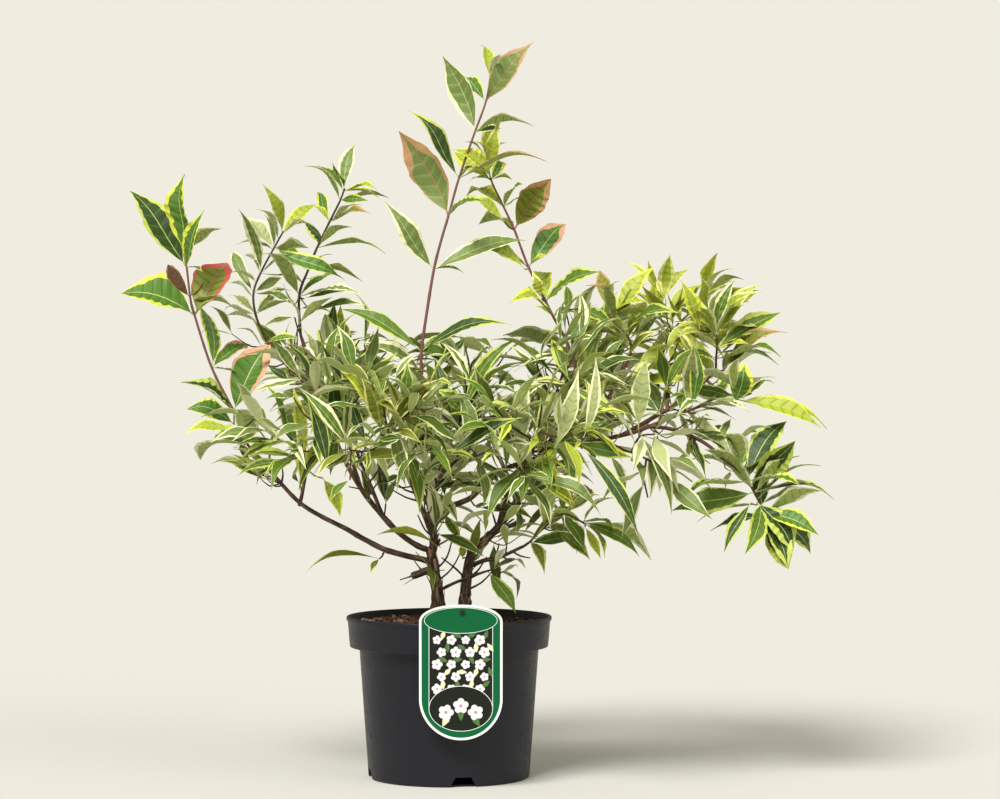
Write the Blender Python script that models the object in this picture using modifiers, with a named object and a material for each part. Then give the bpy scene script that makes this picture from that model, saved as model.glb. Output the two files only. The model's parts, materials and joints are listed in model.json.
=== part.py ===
"""Variegated weigela in its nursery pot, at full size.

Metres, +Z up. The origin is under the middle of the pot's flat base, and the front of the plant faces -Y.
Sizes below are in millimetres. A place on the plant is given as it shows from the front at the depth of the
pot's axis, with its real depth y beside it, and seen() moves it along the line of sight to that depth.
"""

import math
import random
from collections import namedtuple

import bmesh
import bpy
from mathutils import Matrix, Vector
from mathutils.bvhtree import BVHTree

MM = 0.001
GAP = 0.3

# Where the front view is taken from
VIEW_AWAY = 3000.0
VIEW_X = 57.0
VIEW_Z = 422.0

# Pot
POT_HEIGHT = 180.0
LIP_RADIUS = 115.0
LIP_HEIGHT = 4.0
BAND_TOP_RADIUS = 113.4
BAND_FOOT_RADIUS = 111.0
BAND_HEIGHT = 34.0
BODY_TOP_RADIUS = 100.5
BASE_RADIUS = 90.0
BASE_ROUND = 2.0
WALL = 1.8
FLOOR = 2.0
POT_STEPS = 40
NOTCHES = 4
NOTCH_TURN = 11.0
NOTCH_FOOT_WIDTH = 31.0
NOTCH_TOP_WIDTH = 17.0
NOTCH_HEIGHT = 11.0
NOTCH_DEPTH = 7.0

# Soil
SOIL_TOP = 172.0
SOIL_EDGE = 169.0
SOIL_FLAT_RADIUS = 40.0
SOIL_STEPS = 24

# Label and the clip that holds it on the rim
LABEL_WIDTH = 90.0
LABEL_TOP = 201.0
LABEL_FOOT = 55.0
LABEL_THICK = 0.7
LABEL_X = 14.8
LABEL_CORNER = 13.0
LABEL_ARCH = 2.5
HOLE_X = 16.5
HOLE_Z = 192.2
HOLE_RADIUS = 2.0
PIN_RADIUS = 1.5
HEAD_RADIUS = 3.0
CLIP_WIDTH = 8.0
CLIP_THICK = 1.8

# Limbs
LIMB_SIDES = 7
LIMB_STEP = 26.0
FLARE = 4.5
FLARE_HEIGHT = 14.0
KNOT_SWELL = 0.10
STRAIGHT_START = 4.0

# Twigs
TWIG_SIDES = 3
TWIG_TIP_RADIUS = 0.9
SIDE_TWIG_RADIUS = 1.25
STEM_FIT = 0.92
NODE_STEP = 40.0
SIDE_PAIRS = 3
SIDE_TURN = 2.4
SIDE_FROM = 0.20
SIDE_TO = 0.82
SIDE_LEAF = 0.9
SIDE_SHRINK = 0.35
SIDE_LIFT = 0.30

# Leaves. Shares are of a leaf's length or of its stem's, and spreads are in degrees from the stem.
LEAF_BREADTH = 0.37
LEAF_THICK = 0.018
LEAST_THICK = 1.2
LEAF_FOLD = 0.16
LEAF_ARCH = (0.04, 0.10)
LEAF_ROLL = 24.0
NARROW_BREADTH = 0.16
LEAF_CLEAR = 0.7
OUTER_FROM = 0.2
ROOT_SUNK = 0.4
ROOT_THICK = 1.5
LEAF_TRIES = 5
FIRST_PAIR = 0.22
LAST_PAIR = 0.985
PAIR_SPREAD = (48, 70)
TIP_SPREAD = (20, 42)
TIP_SHRINK = 0.38
SHOOT_LEAF = 88.0
SHOOT_SHRINK = 34.0
LEAST_DEEP = 0.15
MOST_DEEP = 1.6
DEEP_SHARES = (1, 0.6, -1, -0.5)

# The share of its faces that a mass keeps once it is fused
SHOOT_SHARE = 0.70
MASS_SHARE = 0.54
MORE_SHARES = (0, 0.03, 0.06, 0.09, 0.12)
HAIR = 0.002

Limb = namedtuple("Limb", "parent first_radius last_radius points")
Leaf = namedtuple("Leaf", "base tip face width arch root ample")

LIMBS = {
    "trunk_left": Limb(
        None, 6.6, 5.4, ((-13, 4, 172.3), (-12.5, 4, 195), (-14, 3, 212), (-18, 2, 235), (-19, 1, 246))
    ),
    "trunk_right": Limb(
        None, 6.2, 5.0, ((17, -6, 172.3), (18, -6, 200), (20, -6, 225), (25, -5, 250))
    ),
    "bough_leader": Limb(
        "trunk_left",
        5.0,
        2.3,
        ((-19, 1, 246.4), (-17, 0, 262), (-19, -1, 289), (-25, 0, 334), (-28, 2, 379), (-31, 0, 440)),
    ),
    "bough_second_leader": Limb(
        "trunk_right",
        4.6,
        2.1,
        ((25, -5, 250.4), (46, -4, 270), (63, 0, 289), (107, 14, 362), (138, 20, 429), (141, 22, 452)),
    ),
    "bough_left_arch": Limb(
        "trunk_left",
        3.4,
        2.0,
        ((-17, 2, 236), (-27, 0, 242), (-72, -8, 254), (-117, -16, 278), (-167, -28, 306), (-210, -38, 354)),
    ),
    "bough_left_inner": Limb(
        "bough_leader",
        3.2,
        1.9,
        ((-18, 0, 252), (-35, 6, 258), (-55, 12, 272), (-93, 24, 314), (-128, 36, 379), (-165, 50, 490)),
    ),
    "bough_left_outer": Limb(
        "bough_left_inner", 2.2, 1.7, ((-137, 40, 405), (-160, 26, 440), (-184, 16, 463), (-204, 14, 488))
    ),
    "bough_left_low": Limb(
        "bough_left_arch", 2.2, 1.7, ((-167, -28, 306), (-163, -44, 325), (-160, -62, 345))
    ),
    "bough_left_mid": Limb(
        "bough_left_inner", 2.2, 1.8, ((-75, 18, 293), (-85, -6, 318), (-96, -26, 345))
    ),
    "bough_left_back": Limb(
        "bough_left_inner", 2.2, 1.8, ((-100, 28, 327), (-108, 60, 352), (-112, 88, 378))
    ),
    "bough_front_left": Limb(
        "bough_leader", 2.8, 1.8, ((-18, -1, 268), (-26, -26, 288), (-38, -62, 318), (-52, -100, 346))
    ),
    "bough_front_right": Limb(
        "bough_second_leader", 2.6, 1.8, ((55, -2, 280), (60, -30, 300), (68, -70, 322), (80, -110, 345))
    ),
    "bough_back_left": Limb(
        "bough_leader", 2.8, 1.8, ((-20, -1, 299), (-32, 30, 318), (-52, 75, 352), (-70, 110, 390))
    ),
    "bough_back_centre": Limb(
        "bough_second_leader", 2.6, 1.8, ((75, 4, 309), (66, 40, 335), (50, 85, 372), (36, 120, 410))
    ),
    "bough_back_right": Limb(
        "bough_second_leader", 2.4, 1.8, ((107, 14, 362), (118, 45, 385), (128, 85, 405), (135, 115, 425))
    ),
    "bough_long_right": Limb(
        "bough_leader",
        3.2,
        1.9,
        (
            (-19, -1, 289),
            (-3, -8, 300),
            (23, -18, 311),
            (57, -26, 341),
            (103, -29, 358),
            (147, -34, 372),
            (206, -40, 385),
            (250, -43, 403),
        ),
    ),
    "bough_low_right": Limb(
        "trunk_right", 2.8, 1.8, ((21, -6, 234), (40, -14, 242), (54, -20, 244), (80, -29, 256))
    ),
    "bough_centre": Limb("bough_leader", 2.2, 1.7, ((-23, 0, 318), (-10, -22, 335), (6, -44, 352))),
    "bough_centre_right": Limb(
        "bough_long_right", 2.0, 1.6, ((88, -28, 353), (96, -42, 372), (104, -56, 392))
    ),
    "bough_right_under": Limb(
        "bough_long_right", 2.0, 1.6, ((170, -36, 377), (182, -54, 372), (194, -72, 366))
    ),
    "bough_upper_right": Limb(
        "bough_long_right", 2.4, 1.8, ((130, -32, 367), (160, -20, 400), (185, -6, 435), (200, 4, 465))
    ),
    "bough_outer_right": Limb(
        "bough_long_right", 2.2, 1.7, ((195, -39, 383), (235, -20, 405), (272, 0, 428), (296, 14, 452))
    ),
    "bough_crest": Limb("bough_outer_right", 1.9, 1.6, ((245, -15, 411), (244, 20, 440), (240, 52, 470))),
    "bough_right_drop": Limb(
        "bough_long_right", 2.2, 1.7, ((225, -41, 392), (252, -56, 388), (285, -66, 374), (312, -70, 352))
    ),
    "bough_low_twig": Limb(
        "trunk_left", 1.8, 1.3, ((-13, 3, 207), (5, -14, 216), (25, -26, 224), (40, -32, 229))
    ),
    "stub_pruned": Limb("trunk_left", 4.2, 3.8, ((-16, 2, 232), (-28, -4, 229), (-41, -10, 224))),
    "stub_broken": Limb("bough_second_leader", 2.8, 2.2, ((46, -4, 270), (62, -16, 278), (78, -24, 284))),
}

# A shoot that shows singly against the background. Each row is one node of its stem, x, y and z, then the
# two leaves of the pair there: the way each points as seen, in degrees from +X, and its length as seen.
SHOOTS = {
    "leader": (
        (-31, 0, 454, 156, 76, -30, 40),
        (-31, 0, 476, 153, 105, 16, 105),
        (-17, 4, 568, 126, 93, 18, 108),
        (-1, 8, 627, 120, 113, 16, 45),
        (11, 10, 670, 127, 94, 10, 100),
        (29, 12, 722, 113, 95, 2, 67),
        (41, 13, 755, 51, 85, 129, 43),
        (46, 13, 782, 104, 44, 60, 25),
    ),
    "second_leader": (
        (133, 23, 484, 173, 74, 40, 60),
        (116, 25, 516, -12, 68, 165, 50),
        (108, 25, 532, 27, 68, 108, 38),
        (89, 26, 570, 50, 68, 157, 66),
        (73, 27, 612, 53, 68, 165, 42),
        (61, 27, 638, 159, 46, 47, 30),
        (47, 26, 668, 140, 55, 61, 25),
        (43, 26, 690, 73, 52, 125, 22),
    ),
    "left_arch": (
        (-226, -43, 372, 96, 36, 197, 62),
        (-241, -45, 408, 63, 84, 147, 60),
        (-266, -48, 458, 98, 68, 36, 45),
        (-285, -50, 516, 63, 68, 163, 82),
        (-290, -50, 536, 117, 38, 55, 30),
        (-294, -51, 570, 127, 107, 70, 65),
        (-298, -51, 588, 88, 84, 120, 30),
    ),
    "left_outer": (
        (-217, 16, 518, 175, 30, 40, 45),
        (-219, 20, 542, 122, 56, 20, 40),
        (-211, 24, 564, 107, 72, -15, 46),
        (-196, 28, 592, -24, 82, 100, 34),
        (-187, 29, 608, 110, 57, 45, 51),
    ),
    "left_inner": (
        (-168, 52, 538, 2, 70, 130, 58),
        (-158, 54, 567, 150, 45, -10, 60),
        (-148, 55, 592, -6, 80, 120, 42),
        (-134, 56, 621, 117, 42, 6, 50),
        (-122, 56, 645, 137, 51, 7, 54),
        (-118, 56, 656, 78, 57, 110, 30),
    ),
    "long_right": (
        (266, -44, 409, 86, 74, -46, 73),
        (292, -45, 417, 40, 50, 200, 45),
        (321, -46, 423, 83, 45, -18, 108),
        (336, -46, 428, 20, 36, 130, 30),
    ),
    "right_drop": (
        (324, -71, 343, 127, 49, 4, 60),
        (334, -72, 331, 54, 80, 194, 72),
        (342, -74, 318, -5, 86, 193, 92),
        (348, -75, 305, -44, 79, 248, 56),
        (353, -76, 292, -68, 62, -20, 60),
    ),
    "upper_right": (
        (204, 6, 482, 150, 60, 30, 60),
        (198, 9, 496, 169, 66, 20, 60),
        (186, 12, 509, 132, 52, 54, 78),
        (182, 13, 518, 103, 53, 80, 35),
    ),
    "outer_right": (
        (299, 17, 468, 1, 67, 150, 60),
        (300, 18, 481, 28, 84, 170, 50),
        (298, 22, 500, 41, 64, 130, 50),
        (292, 24, 520, 35, 52, 110, 40),
    ),
    "low_right": (
        (90, -31, 262, -64, 36, -13, 52),
        (106, -35, 278, -40, 50, 80, 50),
        (128, -40, 294, -61, 46, 40, 40),
        (150, -44, 284, -29, 87, -59, 42),
    ),
    "low_twig": (
        (50, -35, 232, 60, 30, -5, 36),
        (56, -36, 229, -60, 40, 20, 22),
    ),
}

# A mass that grows by the rule alone: the points of its stem, its pairs of leaves, its side twigs and
# their length, the length of its leaves, and how far they hang.
Mass = namedtuple("Mass", "points pairs side_twigs side_length leaf hang")
MASSES = {
    "left_mid": Mass(((-108, -48, 378), (-122, -66, 412), (-132, -76, 440)), 5, 5, 85, 84, 0.30),
    "left_low": Mass(((-170, -84, 368), (-184, -98, 386)), 4, 3, 70, 76, 0.30),
    "centre": Mass(((16, -62, 376), (24, -80, 404), (28, -92, 430)), 5, 5, 85, 84, 0.30),
    "centre_right": Mass(((112, -72, 412), (122, -84, 436), (128, -92, 456)), 5, 5, 85, 84, 0.25),
    "crest": Mass(((246, 70, 492), (256, 84, 506), (266, 92, 516)), 5, 4, 75, 66, 0.05),
    "right_under": Mass(((212, -88, 360), (232, -98, 348), (246, -104, 334)), 5, 3, 60, 86, 0.60),
    "front_left": Mass(((-62, -132, 368), (-70, -162, 394), (-74, -182, 418)), 5, 5, 86, 83, 0.28),
    "front_right": Mass(((92, -142, 366), (100, -172, 392), (104, -192, 416)), 5, 5, 85, 84, 0.28),
    "left_back": Mass(((-125, 120, 412), (-135, 145, 448), (-138, 158, 474)), 5, 4, 80, 82, 0.25),
    "back_left": Mass(((-84, 145, 425), (-92, 178, 460), (-95, 200, 486)), 5, 5, 85, 84, 0.25),
    "back_centre": Mass(((26, 150, 446), (18, 180, 482), (12, 200, 512)), 5, 5, 85, 84, 0.25),
    "back_right": Mass(((150, 145, 448), (162, 176, 474), (168, 198, 498)), 5, 5, 85, 84, 0.25),
}

# The narrow leaf that hangs by itself: where its twig leaves the left arch, and its way in degrees from +X
HANGING_LEAF_FROM = (-75, -9, 255)
HANGING_LEAF_WAY = 190.0
HANGING_LEAF_LENGTH = 84.0
HANGING_BUD_LENGTH = 26.0
HANGING_TWIG = 9.0


def seen(x, y, z):
    """The point at depth y that shows at x and z from the front, in metres."""
    further = (VIEW_AWAY + y) / VIEW_AWAY
    return Vector((VIEW_X + (x - VIEW_X) * further, y, VIEW_Z + (z - VIEW_Z) * further)) * MM


def clear_scene():
    for thing in list(bpy.data.objects):
        bpy.data.objects.remove(thing, do_unlink=True)


def new_collection(name):
    made = bpy.data.collections.new(name)
    bpy.context.scene.collection.children.link(made)
    return made


def finish_of(name, colour, roughness):
    made = bpy.data.materials.new(name)
    made.use_nodes = True
    shader = made.node_tree.nodes["Principled BSDF"]
    shader.inputs["Base Color"].default_value = (*colour, 1.0)
    shader.inputs["Roughness"].default_value = roughness
    shader.inputs["Metallic"].default_value = 0.0
    made.diffuse_color = (*colour, 1.0)
    return made


def place_mesh(name, mesh, home, finish=None):
    thing = bpy.data.objects.new(name, mesh)
    home.objects.link(thing)
    if finish:
        dress(thing, finish)
    return thing


def dress(thing, finish):
    """Gives every face of an object one material."""
    thing.data.materials.clear()
    thing.data.materials.append(finish)
    for face in thing.data.polygons:
        face.material_index = 0


def mesh_of(thing):
    """The mesh of a curve or of an object with modifiers, welded and facing out."""
    bpy.context.view_layer.update()
    graph = bpy.context.evaluated_depsgraph_get()
    mesh = bpy.data.meshes.new_from_object(thing.evaluated_get(graph))
    mesh.transform(thing.matrix_world)
    shape = bmesh.new()
    shape.from_mesh(mesh)
    bmesh.ops.remove_doubles(shape, verts=shape.verts, dist=0.001 * MM)
    bmesh.ops.recalc_face_normals(shape, faces=shape.faces)
    shape.to_mesh(mesh)
    shape.free()
    return mesh


def turned(name, profile, steps, home, finish):
    """A solid of revolution from a profile of radius and height in millimetres."""
    shape = bmesh.new()
    corners = [shape.verts.new((radius * MM, 0, height * MM)) for radius, height in profile]
    for first, second in zip(corners, corners[1:]):
        shape.edges.new((first, second))
    mesh = bpy.data.meshes.new(name)
    shape.to_mesh(mesh)
    shape.free()
    thing = place_mesh(name, mesh, home, finish)
    screw = thing.modifiers.new("Turn", "SCREW")
    screw.steps = steps
    screw.render_steps = steps
    screw.use_merge_vertices = True
    screw.merge_threshold = 0.01 * MM
    screw.use_smooth_shade = False
    return thing


def boolean(thing, name, operation, other):
    made = thing.modifiers.new(name, "BOOLEAN")
    made.operation = operation
    made.solver = "EXACT"
    if isinstance(other, bpy.types.Collection):
        made.operand_type = "COLLECTION"
        made.collection = other
    else:
        made.object = other
    return made


def as_cutter(thing):
    thing.hide_render = True
    thing.display_type = "WIRE"
    return thing


def make_pot(home, cutters, finish):
    band_foot = POT_HEIGHT - BAND_HEIGHT
    profile = (
        (0, FLOOR),
        (BASE_RADIUS - WALL - 1, FLOOR),
        (BODY_TOP_RADIUS - WALL, band_foot + WALL),
        (BAND_FOOT_RADIUS - WALL, band_foot + WALL),
        (BAND_TOP_RADIUS - WALL, POT_HEIGHT),
        (LIP_RADIUS - 0.6, POT_HEIGHT),
        (LIP_RADIUS, POT_HEIGHT - 1),
        (LIP_RADIUS, POT_HEIGHT - LIP_HEIGHT + 1),
        (BAND_TOP_RADIUS, POT_HEIGHT - LIP_HEIGHT),
        (BAND_FOOT_RADIUS, band_foot),
        (BODY_TOP_RADIUS, band_foot),
        (BASE_RADIUS, BASE_ROUND),
        (BASE_RADIUS - BASE_ROUND, 0),
        (0, 0),
    )
    pot = turned("pot", profile, POT_STEPS, home, finish)
    for number in range(NOTCHES):
        turn = math.radians(NOTCH_TURN + 360 * number / NOTCHES)
        cutter = notch_cutter(f"notch_cutter_{number + 1}", turn, cutters)
        boolean(pot, f"Drain notch {number + 1}", "DIFFERENCE", cutter)
    return pot


def notch_cutter(name, turn, cutters):
    """A drain opening in the pot's bottom edge, wider at its foot."""
    shape = bmesh.new()
    bmesh.ops.create_cube(shape, size=1.0)
    for corner in shape.verts:
        width = NOTCH_TOP_WIDTH if corner.co.z > 0 else NOTCH_FOOT_WIDTH
        height = NOTCH_HEIGHT if corner.co.z > 0 else -1.0
        depth = -(BASE_RADIUS + 5) if corner.co.y < 0 else -(BASE_RADIUS - NOTCH_DEPTH)
        corner.co = Vector((math.copysign(width / 2, corner.co.x), depth, height)) * MM
    mesh = bpy.data.meshes.new(name)
    shape.to_mesh(mesh)
    shape.free()
    cutter = place_mesh(name, mesh, cutters)
    cutter.rotation_euler.z = turn
    return as_cutter(cutter)


def make_soil(home, finish):
    ledge = POT_HEIGHT - BAND_HEIGHT + WALL
    profile = (
        (0, SOIL_TOP),
        (SOIL_FLAT_RADIUS, SOIL_TOP),
        (BAND_TOP_RADIUS - WALL - 1.2, SOIL_EDGE),
        (BAND_FOOT_RADIUS - WALL - 0.9, ledge + GAP),
        (BODY_TOP_RADIUS - WALL - 0.9, ledge + GAP),
        (BASE_RADIUS - WALL - 4, NOTCH_HEIGHT + 3),
        (BASE_RADIUS - NOTCH_DEPTH - 6, FLOOR + GAP),
        (0, FLOOR + GAP),
    )
    return turned("soil", profile, SOIL_STEPS, home, finish)


def label_outline():
    """Shallow arched top, round upper corners and a half-round foot, as x and z about the middle line."""
    half = LABEL_WIDTH / 2
    shoulder = LABEL_TOP - LABEL_ARCH - LABEL_CORNER
    points = []
    for step in range(5):
        angle = math.radians(90 * step / 4)
        points.append(
            (half - LABEL_CORNER + LABEL_CORNER * math.cos(angle), shoulder + LABEL_CORNER * math.sin(angle))
        )
    points.append((0, LABEL_TOP))
    points += [(-x, z) for x, z in reversed(points[:5])]
    for step in range(13):
        angle = math.radians(180 + 180 * step / 12)
        points.append((half * math.cos(angle), LABEL_FOOT + half + half * math.sin(angle)))
    return points


def make_label(home, finish):
    back = -(LIP_RADIUS + GAP)
    flat = bpy.data.curves.new("label", "CURVE")
    flat.dimensions = "2D"
    flat.fill_mode = "BOTH"
    flat.extrude = LABEL_THICK / 2 * MM
    hole = [
        (
            HOLE_X - LABEL_X + HOLE_RADIUS * math.cos(math.radians(45 * step)),
            HOLE_Z + HOLE_RADIUS * math.sin(math.radians(45 * step)),
        )
        for step in range(8)
    ]
    for points in (label_outline(), hole):
        spline = flat.splines.new("POLY")
        spline.points.add(len(points) - 1)
        for spot, (x, z) in zip(spline.points, points):
            spot.co = (x * MM, z * MM, 0, 1)
        spline.use_cyclic_u = True
    holder = bpy.data.objects.new("label outline", flat)
    home.objects.link(holder)
    holder.rotation_euler.x = math.radians(90)
    holder.location = Vector((LABEL_X, back - LABEL_THICK / 2, 0)) * MM
    mesh = mesh_of(holder)
    bpy.data.objects.remove(holder, do_unlink=True)
    return place_mesh("label", mesh, home, finish)


def box(name, low, high, home):
    shape = bmesh.new()
    bmesh.ops.create_cube(shape, size=1.0)
    low = Vector(low) * MM
    high = Vector(high) * MM
    for corner in shape.verts:
        corner.co = Vector(high[axis] if corner.co[axis] > 0 else low[axis] for axis in range(3))
    mesh = bpy.data.meshes.new(name)
    shape.to_mesh(mesh)
    shape.free()
    return place_mesh(name, mesh, home)


def peg(name, radius, front, back, home):
    """A round peg through the label's hole, along Y."""
    shape = bmesh.new()
    bmesh.ops.create_cone(
        shape,
        cap_ends=True,
        segments=10,
        radius1=radius * MM,
        radius2=radius * MM,
        depth=(back - front) * MM,
        matrix=Matrix.Translation(Vector((HOLE_X, (front + back) / 2, HOLE_Z)) * MM)
        @ Matrix.Rotation(math.radians(90), 4, "X"),
    )
    mesh = bpy.data.meshes.new(name)
    shape.to_mesh(mesh)
    shape.free()
    return place_mesh(name, mesh, home)


def make_clip(home, finish):
    """A bent strap over the rim, with a headed peg through the label."""
    left = HOLE_X - CLIP_WIDTH / 2
    right = HOLE_X + CLIP_WIDTH / 2
    label_back = -(LIP_RADIUS + GAP)
    label_front = label_back - LABEL_THICK
    face = label_back + GAP
    inner_wall = -math.sqrt((BAND_TOP_RADIUS - WALL - 1) ** 2 - right**2)
    leg_front = inner_wall + GAP
    leg_back = leg_front + CLIP_THICK
    seat = POT_HEIGHT + GAP
    joined = bpy.data.collections.new("clip pieces")
    bpy.context.scene.collection.children.link(joined)
    clip = box("label_clip", (left, face, seat), (right, leg_back, seat + CLIP_THICK), home)
    box("upright", (left, face, seat), (right, face + CLIP_THICK, HOLE_Z + CLIP_WIDTH / 2), joined)
    box("leg", (left, leg_front, SOIL_TOP - 1), (right, leg_back, seat + CLIP_THICK), joined)
    peg("peg", PIN_RADIUS, label_front - 1.2, face + 1, joined)
    peg("head", HEAD_RADIUS, label_front - GAP - 1.2, label_front - GAP, joined)
    join_all(clip, joined)
    dress(clip, finish)
    return clip


def join_all(thing, others):
    """Joins a collection's objects to one solid and removes them. Where a shape only grazes another, the
    one next to the fault is left out and the rest joined again."""
    while True:
        for solver in ("EXACT", "MANIFOLD"):
            join = boolean(thing, "Join", "UNION", others)
            join.solver = solver
            mesh = mesh_of(thing)
            thing.modifiers.clear()
            keep_main_body(mesh)
            fault = fault_of(mesh)
            if fault is None:
                break
        if fault is None:
            break
        bpy.data.objects.remove(nearest_to(fault, others.objects), do_unlink=True)
    thing.data = mesh
    for other in list(others.objects):
        bpy.data.objects.remove(other, do_unlink=True)
    bpy.data.collections.remove(others)


def fault_of(mesh):
    """A point on an edge that hasn't two faces once points a hair apart are one, or None."""
    shape = bmesh.new()
    shape.from_mesh(mesh)
    bmesh.ops.remove_doubles(shape, verts=shape.verts, dist=HAIR * MM)
    faults = [edge.verts[0].co.copy() for edge in shape.edges if len(edge.link_faces) != 2]
    shape.free()
    return faults[0] if faults else None


def nearest_to(point, things):
    return min(things, key=lambda thing: BVHTree.FromPolygons(*shape_of(thing)).find_nearest(point)[3])


def ring_outline(sides):
    """The unit ring that a tube is swept with."""
    name = f"ring of {sides}"
    if name in bpy.data.objects:
        return bpy.data.objects[name]
    flat = bpy.data.curves.new(name, "CURVE")
    spline = flat.splines.new("POLY")
    spline.points.add(sides - 1)
    for number, spot in enumerate(spline.points):
        angle = 2 * math.pi * number / sides
        spot.co = (math.cos(angle), math.sin(angle), 0, 1)
    spline.use_cyclic_u = True
    ring = bpy.data.objects.new(name, flat)
    bpy.data.collections["guides"].objects.link(ring)
    return as_cutter(ring)


def tube(name, points, radii, sides, home):
    """A closed tube through points in metres, with a radius in millimetres at each."""
    path = bpy.data.curves.new(name, "CURVE")
    path.dimensions = "3D"
    path.bevel_mode = "OBJECT"
    path.bevel_object = ring_outline(sides)
    path.use_fill_caps = True
    spline = path.splines.new("POLY")
    spline.points.add(len(points) - 1)
    for spot, place, radius in zip(spline.points, points, radii):
        spot.co = (*place, 1)
        spot.radius = radius * MM
    holder = bpy.data.objects.new(f"{name} path", path)
    bpy.data.collections["guides"].objects.link(holder)
    mesh = mesh_of(holder)
    bpy.data.objects.remove(holder, do_unlink=True)
    return place_mesh(name, mesh, home)


def smooth_line(points, step):
    """Points about a step apart on a smooth curve through the given ones."""
    ends = [points[0] * 2 - points[1], *points, points[-1] * 2 - points[-2]]
    line = []
    for before, start, end, after in zip(ends, ends[1:], ends[2:], ends[3:]):
        pieces = max(1, round((end - start).length / step))
        for number in range(pieces):
            share = number / pieces
            line.append(
                0.5
                * (
                    2 * start
                    + (end - before) * share
                    + (2 * before - 5 * start + 4 * end - after) * share**2
                    + (3 * start - before - 3 * end + after) * share**3
                )
            )
    line.append(points[-1])
    return line


def limb_points(name):
    """A limb's own points. One that goes on from another's tip starts square to it, a gap away."""
    limb = LIMBS[name]
    points = [seen(*point) for point in limb.points]
    if limb.parent is None:
        points[0].z = (SOIL_TOP + GAP) * MM
        return [points[0], points[0] + Vector((0, 0, STRAIGHT_START * MM)), *points[1:]]
    tip = seen(*LIMBS[limb.parent].points[-1])
    if (points[0] - tip).length < 2 * MM:
        start, way = next_start(limb.parent)
        return [start, start + way * STRAIGHT_START * MM, *points[1:]]
    return points


def next_start(name):
    """Where growth goes on past a limb's tip, and its way."""
    line, _ = limb_line(name)
    way = (line[-1] - line[-2]).normalized()
    return line[-1] + way * GAP * MM, way


def limb_line(name):
    limb = LIMBS[name]
    line = smooth_line(limb_points(name), LIMB_STEP * MM)
    chance = random.Random(name)
    radii = []
    for number, place in enumerate(line):
        share = number / (len(line) - 1)
        radius = limb.first_radius + (limb.last_radius - limb.first_radius) * share
        if 0 < number < len(line) - 1:
            radius *= 1 + chance.uniform(0, KNOT_SWELL)
        if limb.parent is None:
            radius += FLARE * math.exp(-(place.z / MM - SOIL_TOP) / FLARE_HEIGHT)
        radii.append(radius)
    return line, radii


def make_limb(name, home, cutters, finish):
    """One tapering limb. Where it leaves the side of another, its foot is cut to that limb's surface."""
    line, radii = limb_line(name)
    limb = tube(name, line, radii, LIMB_SIDES, home)
    parent = LIMBS[name].parent
    if parent and (line[0] - limb_line(parent)[0][-1]).length > 2 * MM:
        parent_line, parent_radii = limb_line(parent)
        wider = [radius + GAP for radius in parent_radii]
        cutter = tube(f"{name} seat", parent_line, wider, LIMB_SIDES, cutters)
        boolean(limb, "Seat", "DIFFERENCE", as_cutter(cutter))
        limb.data = mesh_of(limb)
        limb.modifiers.clear()
        bpy.data.objects.remove(cutter, do_unlink=True)
        keep_main_body(limb.data)
    dress(limb, finish)
    return limb


def bodies_of(shape):
    """The faces of each loose body in a bmesh."""
    left = set(shape.faces)
    bodies = []
    while left:
        body = set()
        front = [left.pop()]
        while front:
            face = front.pop()
            body.add(face)
            for edge in face.edges:
                for other in edge.link_faces:
                    if other in left:
                        left.discard(other)
                        front.append(other)
        bodies.append(body)
    return bodies


def volume_of(faces):
    total = 0.0
    for face in faces:
        first = face.verts[0].co
        for second, third in zip(face.verts[1:], face.verts[2:]):
            total += first.dot(second.co.cross(third.co)) / 6
    return total


def keep_main_body(mesh):
    """Drops loose scraps, and fills sealed hollows by dropping their walls."""
    shape = bmesh.new()
    shape.from_mesh(mesh)
    bodies = sorted(bodies_of(shape), key=volume_of)
    spare = [face for body in bodies[:-1] for face in body]
    bmesh.ops.delete(shape, geom=spare, context="FACES")
    bmesh.ops.triangulate(shape, faces=shape.faces)
    shape.to_mesh(mesh)
    shape.free()


def blade(leaf, grown=0.0):
    """Corners and faces of a thin closed blade. Grown makes it that much wider and thicker, for a test."""
    along = leaf.tip - leaf.base
    length = along.length
    along = along / length
    up = (leaf.face - along * leaf.face.dot(along)).normalized()
    across = along.cross(up)
    half = leaf.width / 2 + grown
    thick = max(LEAF_THICK * length, LEAST_THICK * MM) / 2 + grown

    def spot(share, aside, lift):
        rise = 4 * leaf.arch * share * (1 - share) * length
        return leaf.base + along * (length * share) + across * aside + up * (rise + lift)

    rim = ((0.30, 0.90), (0.66, 0.80)) if leaf.ample else ((0.44, 1.0),)
    sunk = -leaf.root / length
    corners = [
        spot(sunk, 0, ROOT_THICK / 2 * MM),
        spot(sunk, 0, -ROOT_THICK / 2 * MM),
        spot(0.5, 0, thick),
        spot(0.5, 0, -thick),
    ]
    right = [spot(share, half * broad, LEAF_FOLD * half * broad) for share, broad in rim]
    left = [spot(share, -half * broad, LEAF_FOLD * half * broad) for share, broad in reversed(rim)]
    corners += [*right, leaf.tip + along * grown, *left]
    edge = list(range(4, len(corners)))
    faces = []
    for first, second in zip([0, *edge], [*edge, 0]):
        faces.append((2, first, second))
    for first, second in zip([1, *edge], [*edge, 1]):
        faces.append((3, second, first))
    faces.append((0, 1, edge[0]))
    faces.append((1, 0, edge[-1]))
    return corners, faces


def near(low, high, other_low, other_high):
    return all(low[axis] <= other_high[axis] and other_low[axis] <= high[axis] for axis in range(3))


def box_of(corners):
    low = Vector(min(corner[axis] for corner in corners) for axis in range(3))
    high = Vector(max(corner[axis] for corner in corners) for axis in range(3))
    return low, high


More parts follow.
